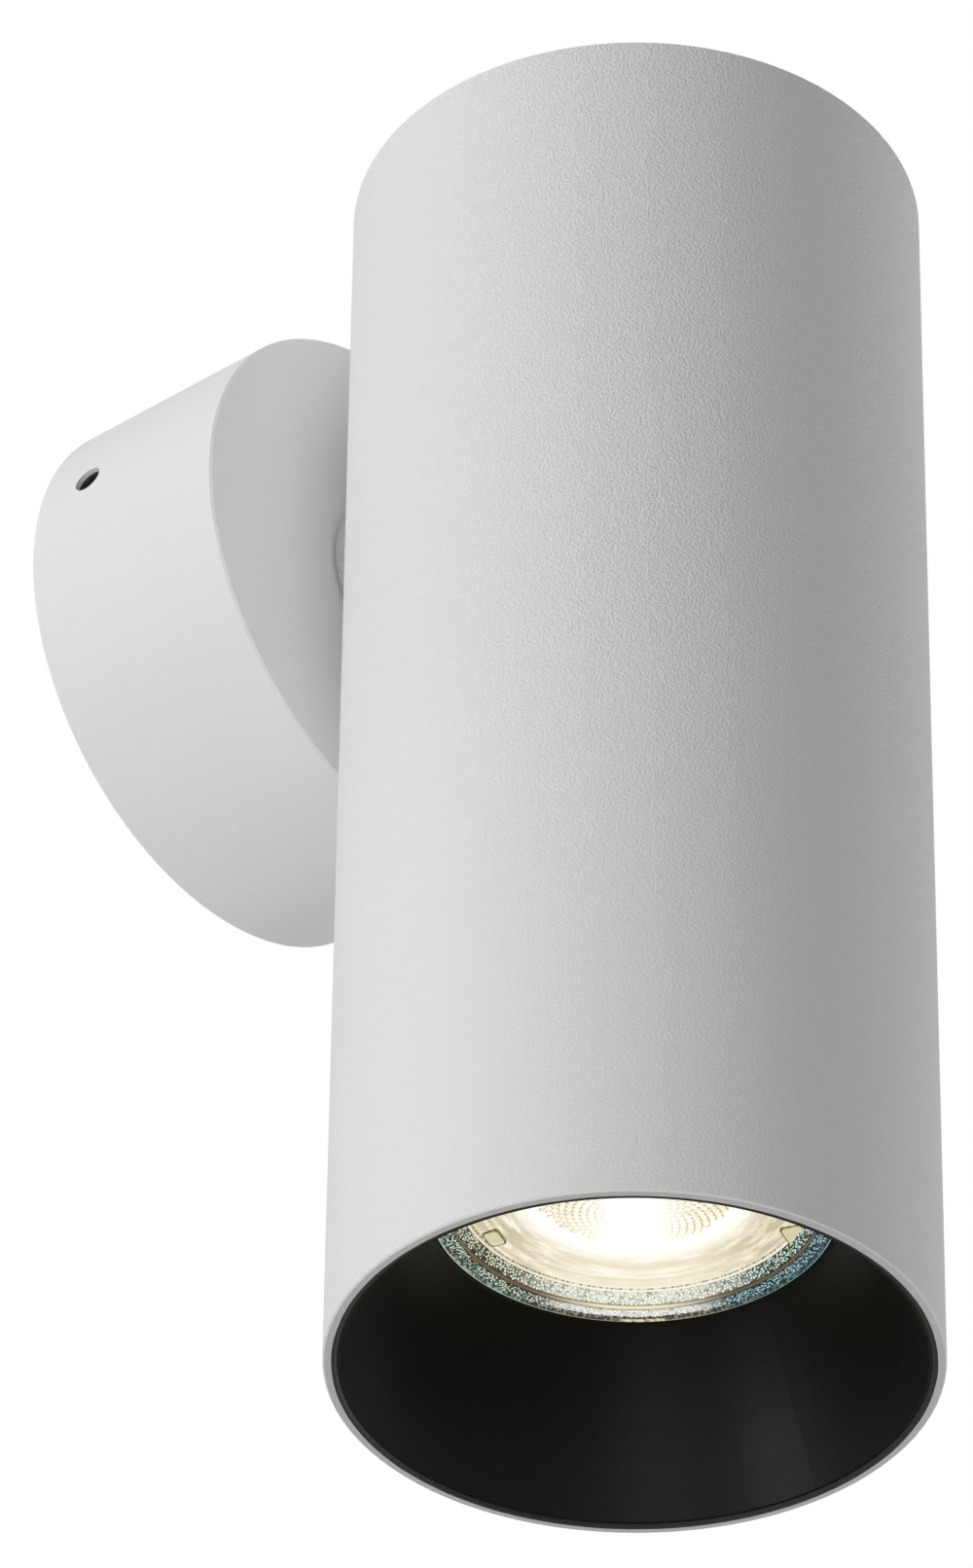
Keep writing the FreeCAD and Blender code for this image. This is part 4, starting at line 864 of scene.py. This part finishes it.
class LampSurface(Surface):
    """A lit material of the lamp, which knows where each of its points lies.

    Radius and depth are in millimetres, turn runs from 0 to 1, across from -1 on the lamp's left to 1 on
    its right, and aside is across without its sign.
    """

    def __init__(self, name: str, lamp: "Lamp") -> None:
        """Starts the material.

        Args:
            name: the material's name.
            lamp: the lamp, for its axis and rim.
        """
        super().__init__(name)
        radius, self.turn, length = self.polar(lamp.axis, "Z")
        self.radius, self.depth = (self.times(value, 1 / MM) for value in (radius, length))
        moved = self.vector("SUBTRACT", self.place, lamp.axis)
        self.across = self.vector("DOT_PRODUCT", moved, Vector(lamp.across) / (lamp.rim * MM))
        self.aside = self.maths("ABSOLUTE", self.across)

    def tint(self, glow: Glow) -> Socket:
        """Colour of a glow at each point."""
        sides = self.mix(self.ramp(self.across, -0.4, 0.5), glow.left, glow.right)
        return self.mix(self.ramp(self.aside, glow.core, glow.reach, 1.0, 0.0), sides, glow.facing_highlight)

    def speckle(self, ground: Glow, top: Glow, speck: Colour) -> Socket:
        """Colour between the pips of a band.

        Args:
            ground: tints of the dark ground.
            top: tints that its paler specks lean to.
            speck: colour of its darkest specks.

        Returns:
            The colour.
        """
        grain = self.noise(self.place, 2300.0, 1.0)
        pale = self.mix(self.ramp(grain, 0.50, 0.62, 0.0, 0.45), self.tint(ground), self.tint(top))
        return self.mix(self.ramp(grain, 0.36, 0.46, 0.55, 0.0), pale, speck)

    def loop(self, height: Any = 0.0) -> Socket:
        """Each point's place on a unit circle, at a height, so that a texture meets itself."""
        angle = self.times(self.turn, 2 * math.pi)
        return self.join(self.maths("COSINE", angle), self.maths("SINE", angle), height)

    def lit(self, colour: Socket, roughness: float) -> Material:
        """Ends the material.

        Args:
            colour: colour of its light.
            roughness: roughness of its polish.

        Returns:
            The finished material.
        """
        self.set(Base_Color=(0.03, 0.03, 0.027, 1.0), Roughness=roughness, Specular_IOR_Level=0.12,
                 Emission_Color=colour, Emission_Strength=1.0)
        return self.material


@dataclass
class Lamp:
    """The reflector lamp: stippled bands on either side of a ledge, dished glow and faceted hub.

    The axis is a point of its front, in metres, and across is the way from left to right. Sizes are in
    millimetres: radii from the axis and depths behind the front. Polar angles are in degrees from +X.
    """

    axis: Vector = field(default_factory=lambda: Vector((0.0, -0.0715, -0.115)))
    across: Triple = (0.638, -0.770, 0.0)
    steps: int = 192
    dish_rings: int = 12
    dish_bend: float = 1.5
    crown_rings: int = 6
    rim: float = 24.45
    ledge: float = 22.95
    step: float = 21.8
    shelf: float = 21.42
    line: float = 0.26
    hub: float = 12.5
    flat: float = 4.0
    soft: float = 0.08
    face_deep: float = 0.52
    ledge_deep: float = 1.18
    step_deep: float = 2.4
    line_deep: float = 2.6
    dish_deep: float = 3.25
    crown_deep: float = 2.4
    back_deep: float = 4.05
    lip_line: float = 24.72
    # polar angles of a painted golden glint on the bowl's front lip
    glint_window: tuple[float, float] = (30.0, 43.0)
    away: float = 38.9
    tabs: tuple[Tab, ...] = (Tab(21.7, -26.5, 42.7, 3.6, 2.5), Tab(19.9, 99.0, 6.0), Tab(19.9, 219.0, 6.0))
    tab_tall: float = 1.3
    tab_corner: float = 0.5
    tab_rise: float = 0.17
    moat: float = 0.2
    moat_rise: float = 0.05
    moat_shift: float = 0.14
    pip_spacing: float = 0.31
    pip_radius: float = 0.185
    pip_height: float = 0.14
    facets: int = 620
    facet_spread: float = 0.495
    facet_radius: float = 0.54
    facet_height: float = 0.26
    # each glow's third tint is the painted highlight across the middle of the lens
    outer_ground: Glow = Glow((0.016, 0.024, 0.014), (0.008, 0.020, 0.022), (0.62, 0.62, 0.56), 0.26, 0.52)
    outer_top: Glow = Glow((0.74, 0.86, 0.70), (0.42, 0.68, 0.72), (1.0, 1.0, 0.98), 0.26, 0.52)
    slope_ground: Glow = Glow((0.022, 0.024, 0.012), (0.008, 0.018, 0.013), (0.62, 0.63, 0.51), 0.22, 0.72)
    slope_top: Glow = Glow((0.84, 0.88, 0.68), (0.74, 0.92, 0.82), (0.96, 1.0, 0.95), 0.22, 0.72)
    wall_mid: Glow = Glow((0.150, 0.105, 0.052), (0.130, 0.090, 0.046), (0.86, 0.78, 0.55), 0.10, 0.55)
    wall_dark: Glow = Glow((0.030, 0.022, 0.012), (0.020, 0.016, 0.010), (0.24, 0.17, 0.08), 0.05, 0.45)
    edge_line: Glow = Glow((0.20, 0.16, 0.07), (0.18, 0.15, 0.075), (0.24, 0.18, 0.08), 0.10, 0.70)
    shelf_glow: Glow = Glow((0.80, 0.72, 0.48), (0.90, 0.85, 0.66), (1.0, 0.93, 0.76), 0.10, 0.85)
    dish: Glow = Glow((0.72, 0.67, 0.49), (0.77, 0.72, 0.54), (1.0, 0.95, 0.80), 0.10, 0.85)
    lip: Glow = Glow((0.48, 0.60, 0.50), (0.16, 0.30, 0.28), (0.42, 0.38, 0.28), 0.30, 0.70)
    hub_valley: Glow = Glow((0.46, 0.35, 0.15), (0.46, 0.35, 0.15), (1.0, 0.98, 0.90), 0.05, 0.36)
    hub_top: Glow = Glow((1.0, 0.96, 0.80), (1.0, 0.96, 0.80), (1.05, 1.05, 1.0), 0.05, 0.36)
    speck: Colour = (0.035, 0.032, 0.020)
    ring_beige: Colour = (0.80, 0.71, 0.50)
    cloud: Colour = (0.56, 0.50, 0.34)
    glint: Colour = (1.0, 0.97, 0.86)
    heart: Colour = (1.1, 1.08, 1.0)
    tab_pale: Colour = (0.66, 0.62, 0.40)
    tab_gold: tuple[Colour, Colour] = ((0.11, 0.08, 0.03), (0.30, 0.24, 0.10))
    glint_gold: tuple[Colour, Colour] = ((0.26, 0.21, 0.09), (0.74, 0.68, 0.44))
    silver: tuple[Colour, Colour] = ((0.50, 0.55, 0.52), (0.62, 0.66, 0.62))

    def profile(self) -> list[tuple[float, float]]:
        """Front profile of the lens from its edge to its flat centre.

        Returns:
            Radius and depth pairs.
        """
        face, step, soft, end = self.face_deep, self.step_deep, self.soft, self.shelf - self.line
        points = [(self.ledge, self.back_deep), (self.rim, self.back_deep), (self.rim, face + soft),
                  (self.rim - soft, face), (self.ledge + soft, face), (self.ledge, face + soft),
                  (self.ledge - soft / 2, self.ledge_deep), (self.step, step), (self.shelf, step + 0.02),
                  (self.shelf - soft, self.line_deep), (end, self.line_deep), (end - soft, step + 0.04)]
        start = points[-1][0]
        for share in (index / self.dish_rings for index in range(1, self.dish_rings + 1)):
            sink = (self.dish_deep - step) * math.sin(share * self.dish_bend)
            points.append((start + (self.hub - start) * share, step + sink))
        for share in (index / self.crown_rings for index in range(self.crown_rings + 1)):
            points.append((self.hub + (self.flat - self.hub) * share,
                           self.dish_deep + (self.crown_deep - self.dish_deep) * share))
        return points

    def sweep(self, points: list[tuple[float, float]], closed: bool) -> Mesh:
        """Turns a profile about the lamp's axis.

        Args:
            points: radius and depth pairs.
            closed: fills the first and the last ring.

        Returns:
            The swept mesh.
        """
        mesh = bmesh.new()
        rings = [[mesh.verts.new(self.axis + Vector((radius * cosine, radius * sine, depth)) * MM)
                  for cosine, sine in circle(self.steps)] for radius, depth in points]
        join_rings(mesh, rings)
        if closed:
            mesh.faces.new(rings[0])
            mesh.faces.new(reversed(rings[-1]))
        return mesh

    def tab_mesh(self) -> Mesh:
        """The three locking tabs at the dish's edge, each on its own sunk ground.

        Returns:
            Their closed meshes.
        """
        mesh = bmesh.new()
        away = math.radians(self.away)
        for tab in self.tabs:
            polar = math.radians(tab.polar)
            middle = self.axis + Vector((tab.radius * math.cos(polar), tab.radius * math.sin(polar),
                                         self.step_deep + self.tab_tall / 2)) * MM
            turned = Matrix.Rotation(math.radians(tab.polar + tab.spin), 4, "Z")
            for margin, high, shift in ((0.0, self.tab_rise, 0.0),
                                        (2 * self.moat, self.moat_rise, self.moat_shift)):
                moved = Vector((shift * math.cos(away), shift * math.sin(away), -high)) * MM
                size = Matrix.Diagonal(((tab.deep + margin) * MM, (tab.wide + margin) * MM,
                                        self.tab_tall * MM, 1.0))
                block = bmesh.ops.create_cube(
                    mesh, size=1.0, matrix=Matrix.Translation(middle + moved) @ turned @ size)
                edges = {edge for vertex in block["verts"] for edge in vertex.link_edges}
                upright = [edge for edge in edges if abs(edge.verts[0].co.z - edge.verts[1].co.z) > 0.1 * MM]
                bmesh.ops.bevel(mesh, geom=upright, offset=self.tab_corner * MM, segments=4, profile=0.5,
                                affect="EDGES")
        return mesh

    def dish_colour(self, net: LampSurface) -> Socket:
        """Colour of the dish: white near the hub, beige rings and cloudy patches.

        Args:
            net: the material.

        Returns:
            The colour.
        """
        bands = net.shared(lathe_group(), Radius=net.radius, Length=0.0, Pitch=1.6)["Height"]
        beige = net.mix(net.ramp(bands, 0.42, 0.60, 0.7, 0.0), net.tint(self.dish), self.ring_beige)
        cloud = net.noise(net.loop(net.times(net.radius, 0.30)), 3.2, 4.0, 0.62)
        patch = net.times(net.ramp(cloud, 0.45, 0.60), net.ramp(net.aside, 0.2, 0.75, 0.15, 0.9))
        clouded = net.mix(patch, beige, self.cloud)
        shine = net.times(net.ramp(cloud, 0.36, 0.46, 1.0, 0.0), 0.8)
        bright = net.mix(shine, clouded, self.glint)
        return net.mix(net.ramp(net.radius, 13.2, 17.5, 1.0, 0.0), bright, self.heart)

    def lens_finish(self) -> Material:
        """Lens: dark ground under the stipple, brown ledge, pale shelf, gold line and white dish.

        Returns:
            The finished material.
        """
        net = LampSurface("lamp_lens_glow", self)
        top = net.ramp(net.depth, self.face_deep + 0.06, self.face_deep + 0.12, 1.0, 0.0)
        foot = net.ramp(net.depth, self.ledge_deep - 0.14, self.ledge_deep - 0.06)
        wall = net.mix(net.maths("MAXIMUM", top, foot), net.tint(self.wall_mid), net.tint(self.wall_dark))
        start = self.shelf - self.line
        broken = net.ramp(net.noise(net.loop(), 60.0, 3.0), 0.36, 0.60, 1.0, 0.25)
        colour = self.dish_colour(net)
        line = net.mix(broken, colour, net.tint(self.edge_line))
        colour = net.mix(net.ramp(net.radius, start - 0.12, start), colour, line)
        for radius, zone in (
                (self.shelf - 0.02, net.tint(self.shelf_glow)),
                (self.step - 0.02, net.speckle(self.slope_ground, self.slope_top, self.speck)),
                (self.ledge - 0.08, wall),
                (self.ledge + 0.04, net.speckle(self.outer_ground, self.outer_top, self.speck))):
            colour = net.mix(net.ramp(net.radius, radius, radius + 0.03), colour, zone)
        return net.lit(colour, 0.2)

    def pip_finish(self, name: str, ground: Glow, top: Glow, crest: tuple[float, float],
                   dull: float) -> Material:
        """Finish of small lit domes, with painted highlight on their tops.

        Args:
            name: the material's name.
            ground: tints at their feet.
            top: tints at their tops.
            crest: how far up a dome the tint starts to change and has changed.
            dull: share of the top's tint that the dullest domes reach.

        Returns:
            The finished material.
        """
        net = LampSurface(name, self)
        rise, tone = (net.add("ShaderNodeAttribute", attribute_name=kept).outputs["Fac"]
                      for kept in ("rise", "tone"))
        # dome tops painted lighter than their feet: painted highlight that shows their relief
        top_highlight = net.times(net.ramp(rise, *crest), net.ramp(tone, 0.0, 0.55, dull, 1.0))
        return net.lit(net.mix(top_highlight, net.tint(ground), net.tint(top)), 0.15)

    def tab_finish(self) -> Material:
        """Pale tabs with dark gold sides.

        Returns:
            The finished material.
        """
        net = LampSurface("lamp_tabs", self)
        high = self.step_deep - self.tab_rise
        side = net.ramp(net.depth, high + 0.03, high + 0.07)
        grain = net.noise(net.place, 1600.0, 2.0)
        gold = net.mix(net.ramp(grain, 0.35, 0.65), *self.tab_gold)
        return net.lit(net.mix(side, self.tab_pale, gold), 0.2)

    def rim_finish(self) -> Material:
        """Silvered glass of the bowl, with a dark front lip and a painted golden glint in it.

        Returns:
            The finished material.
        """
        net = LampSurface("lamp_bowl_glass", self)
        # painted glint: a golden patch on the lip's front between two polar angles
        low, high = (angle / 360 + 0.5 for angle in self.glint_window)
        after = net.ramp(net.turn, low - 0.001, low + 0.001)
        before = net.ramp(net.turn, high - 0.001, high + 0.001, 1.0, 0.0)
        facing_highlight = net.ramp(net.depth, 0.10, 0.22, 1.0, 0.0)
        shown = net.times(net.times(after, before), facing_highlight)
        grain = net.noise(net.place, 1500.0, 2.0)
        lit = net.mix(net.ramp(grain, 0.38, 0.6), *self.glint_gold)
        specks = net.ramp(net.noise(net.place, 2300.0, 1.0), 0.45, 0.62, 0.08, 0.6)
        reach = net.maths("MULTIPLY_ADD", grain, 0.08, net.radius)
        groove = net.ramp(reach, self.lip_line, self.lip_line + 0.12, specks, 1.0)
        light = net.mix(1.0, net.tint(self.lip), net.grey(groove), "MULTIPLY")
        front = net.ramp(net.depth, 0.7, 1.6, 1.0, 0.0)
        haze = net.noise(net.place, 700.0, 3.0)
        silver = net.mix(net.ramp(haze, 0.35, 0.65), *self.silver)
        net.set(Base_Color=net.mix(front, silver, (0.03, 0.03, 0.028)),
                Roughness=net.ramp(haze, 0.3, 0.7, 0.12, 0.2), Specular_IOR_Level=0.25,
                Emission_Color=net.mix(front, (0.0, 0.0, 0.0), net.mix(shown, light, lit)),
                Emission_Strength=1.0)
        return net.material

    def stipple(self) -> None:
        """Makes the two stippled bands."""
        for side, edges, ground, top, crest, dull in (
                ("outer", [(self.ledge + 0.2, self.face_deep), (self.rim - 0.1, self.face_deep)],
                 self.outer_ground, self.outer_top, (0.4, 0.8), 0.04),
                ("slope", [(self.step + 0.12, self.step_deep - 0.12),
                           (self.ledge - 0.15, self.ledge_deep + 0.1)],
                 self.slope_ground, self.slope_top, (0.35, 0.8), 0.06)):
            values = {"Spacing": self.pip_spacing * MM, "Pip Radius": self.pip_radius * MM,
                      "Pip Height": self.pip_height * MM, "Seed": 11,
                      "Material": self.pip_finish(f"stipple_{side}", ground, top, crest, dull)}
            band = grow(self.sweep(edges, False), stipple_tree(), values)
            adopt(f"lamp_{side}_stipple", band, "lamp")

    def hub_lenses(self) -> None:
        """Makes the small lenses on the hub."""
        crown = (self.dish_deep - self.crown_deep) * MM / (self.hub * MM) ** 2
        values = {"Count": self.facets, "Spread": self.facet_spread * MM, "Crown": crown, "Seed": 5,
                  "Facet Radius": self.facet_radius * MM, "Facet Height": self.facet_height * MM,
                  "Centre": self.axis + Vector((0.0, 0.0, (self.crown_deep - 0.02) * MM)),
                  "Material": self.pip_finish("hub_lenses", self.hub_valley, self.hub_top, (0.30, 0.72), 0.8)}
        adopt("lamp_hub_lenses", grow(bmesh.new(), sunflower_tree(), values), "lamp")

    def build(self) -> None:
        """Makes the lens and dresses the rest of the lamp."""
        face = closed_mesh("lamp_lens_face", self.sweep(self.profile(), True), self.lens_finish())
        lens = adopt("lamp_lens_face", face, "lamp")
        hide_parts("lamp_lens")
        tabs = closed_mesh("lamp_lens_tabs", self.tab_mesh(), self.tab_finish())
        adopt("lamp_lens_tabs", tabs, "lamp")
        self.stipple()
        self.hub_lenses()
        paint(self.rim_finish(), "lamp_glass")
        paint(Moulding("lamp_ceramic", (0.82, 0.80, 0.75), 0.6, 12e-6, 900.0).build(), "lamp_base")
        paint(TurnedMetal("pin_nickel", Metal.NICKEL, 0.0002).build(), "lamp_pins")
        paint(Moulding("board_white", (0.80, 0.80, 0.78), 0.4).build(), "lamp_led_board")
        paint(Moulding("chip_phosphor", (0.85, 0.66, 0.12), 0.5).build(), "lamp_led_chips")
        paint(Moulding("driver_green", (0.03, 0.16, 0.07), 0.35).build(), "lamp_driver_board")


@dataclass
class SoftBox:
    """A square lamp that faces the object."""

    name: str
    azimuth: float
    elevation: float
    power: float
    distance: float = 2.4
    side: float = 0.9
    target: Triple = (0.0, -0.06, -0.05)

    def build(self) -> None:
        """Adds the lamp to the scene."""
        light = bpy.data.lights.new(self.name, "AREA")
        light.shape = "SQUARE"
        light.size = self.side
        light.energy = self.power
        lamp = put(self.name, light)
        turn, rise = math.radians(self.azimuth), math.radians(self.elevation)
        towards = Vector((math.cos(turn) * math.cos(rise), math.sin(turn) * math.cos(rise), math.sin(rise)))
        lamp.location = Vector(self.target) + towards * self.distance
        lamp.rotation_euler = towards.to_track_quat("Z", "Y").to_euler()
        LOG.info("lit by %s", self.name)


@dataclass
class Studio:
    """Floor, surroundings, lamps and camera."""

    floor_z: float = -1.25
    floor_half: float = 6.0
    floor_lift: float = 0.42
    floor_fade: tuple[float, float] = (2.2, 5.5)
    ambient: float = 0.20
    camera_place: Triple = (-0.67148, -0.61333, -0.703515)
    camera_right: Triple = (0.637920, -0.769988, 0.011688)
    camera_up: Triple = (-0.470776, -0.377928, 0.797199)
    camera_back: Triple = (-0.609417, -0.514052, -0.603603)
    lens: float = 196.7
    film: float = 36.0
    lamps: tuple[SoftBox, ...] = (
        SoftBox("key_high", 150.0, 45.0, 15.8), SoftBox("key_low", 160.0, -20.0, 18.6),
        SoftBox("back_high", 120.0, 45.0, 3.4), SoftBox("front_left", 210.0, -18.0, 9.5),
        SoftBox("right_low", 345.0, -20.0, 13.8), SoftBox("right_high", 345.0, 45.0, 5.1))

    def build_camera(self) -> None:
        """Adds the camera at the photograph's place."""
        data = bpy.data.cameras.new("photo_view")
        data.sensor_fit = "VERTICAL"
        data.sensor_height = self.film
        data.lens = self.lens
        data.clip_start = 0.01
        data.clip_end = 60.0
        camera = put("photo_view", data)
        turn = Matrix((self.camera_right, self.camera_up, self.camera_back)).transposed().to_4x4()
        camera.matrix_world = Matrix.Translation(self.camera_place) @ turn
        bpy.context.scene.camera = camera

    def build_world(self) -> None:
        """Even soft light from all round, seen as plain white."""
        world = bpy.data.worlds.new("studio")
        world.use_nodes = True
        world.node_tree.nodes.clear()
        net = Net(world.node_tree)
        rays = net.add("ShaderNodeLightPath").outputs
        camera, glossy, through = (rays[kind.value] for kind in Rays)
        seen = net.maths("MAXIMUM", net.maths("MAXIMUM", camera, glossy), through)
        soft, plain = (net.add("ShaderNodeBackground", {"Color": WHITE, "Strength": strength}).outputs[0]
                       for strength in (self.ambient, 1.0))
        mixed = net.add("ShaderNodeMixShader", {0: seen, 1: soft, 2: plain})
        net.add("ShaderNodeOutputWorld", {"Surface": mixed.outputs[0]})
        bpy.context.scene.world = world

    def floor_finish(self) -> Material:
        """Pale floor that keeps shadows, fades out far away and is clear from below.

        Returns:
            The finished material.
        """
        net = Surface("floor_pale")
        speckle = net.noise(net.place, 40.0, 3.0, 0.6)
        seen = net.add("ShaderNodeLightPath").outputs[Rays.CAMERA.value]
        net.set(Base_Color=net.mix(net.ramp(speckle, 0.3, 0.7), (0.86,) * 3, (0.90,) * 3), Roughness=0.9,
                Emission_Color=WHITE, Emission_Strength=net.times(seen, self.floor_lift))
        clear = net.add("ShaderNodeBsdfTransparent").outputs[0]
        fade = net.ramp(net.vector("LENGTH", net.place), *self.floor_fade)
        behind = net.add("ShaderNodeNewGeometry").outputs["Backfacing"]
        unseen = net.maths("MAXIMUM", fade, behind)
        mixed = net.add("ShaderNodeMixShader", {0: unseen, 1: net.shader.outputs[0], 2: clear})
        net.fill(net.output.inputs, {"Surface": mixed.outputs[0]})
        return net.material

    def build_floor(self) -> None:
        """Adds the floor, well below the light."""
        mesh = bpy.data.meshes.new("floor")
        corners = [(x * self.floor_half, y * self.floor_half, self.floor_z)
                   for x, y in ((-1, -1), (1, -1), (1, 1), (-1, 1))]
        mesh.from_pydata(corners, [], [(0, 1, 2, 3)])
        mesh.materials.append(self.floor_finish())
        floor = put("floor", mesh)

    def build(self) -> None:
        """Sets up everything round the object."""
        bpy.context.scene.view_settings.view_transform = "Standard"
        self.build_camera()
        self.build_world()
        self.build_floor()
        for lamp in self.lamps:
            lamp.build()


def main() -> None:
    """Builds the scene."""
    logging.basicConfig(level=logging.INFO, format="%(name)s: %(message)s")
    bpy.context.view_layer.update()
    Studio().build()
    Canopy().dress()
    Head().dress()
    Neck().build()
    Lamp().build()


if __name__ == "__main__":
    main()
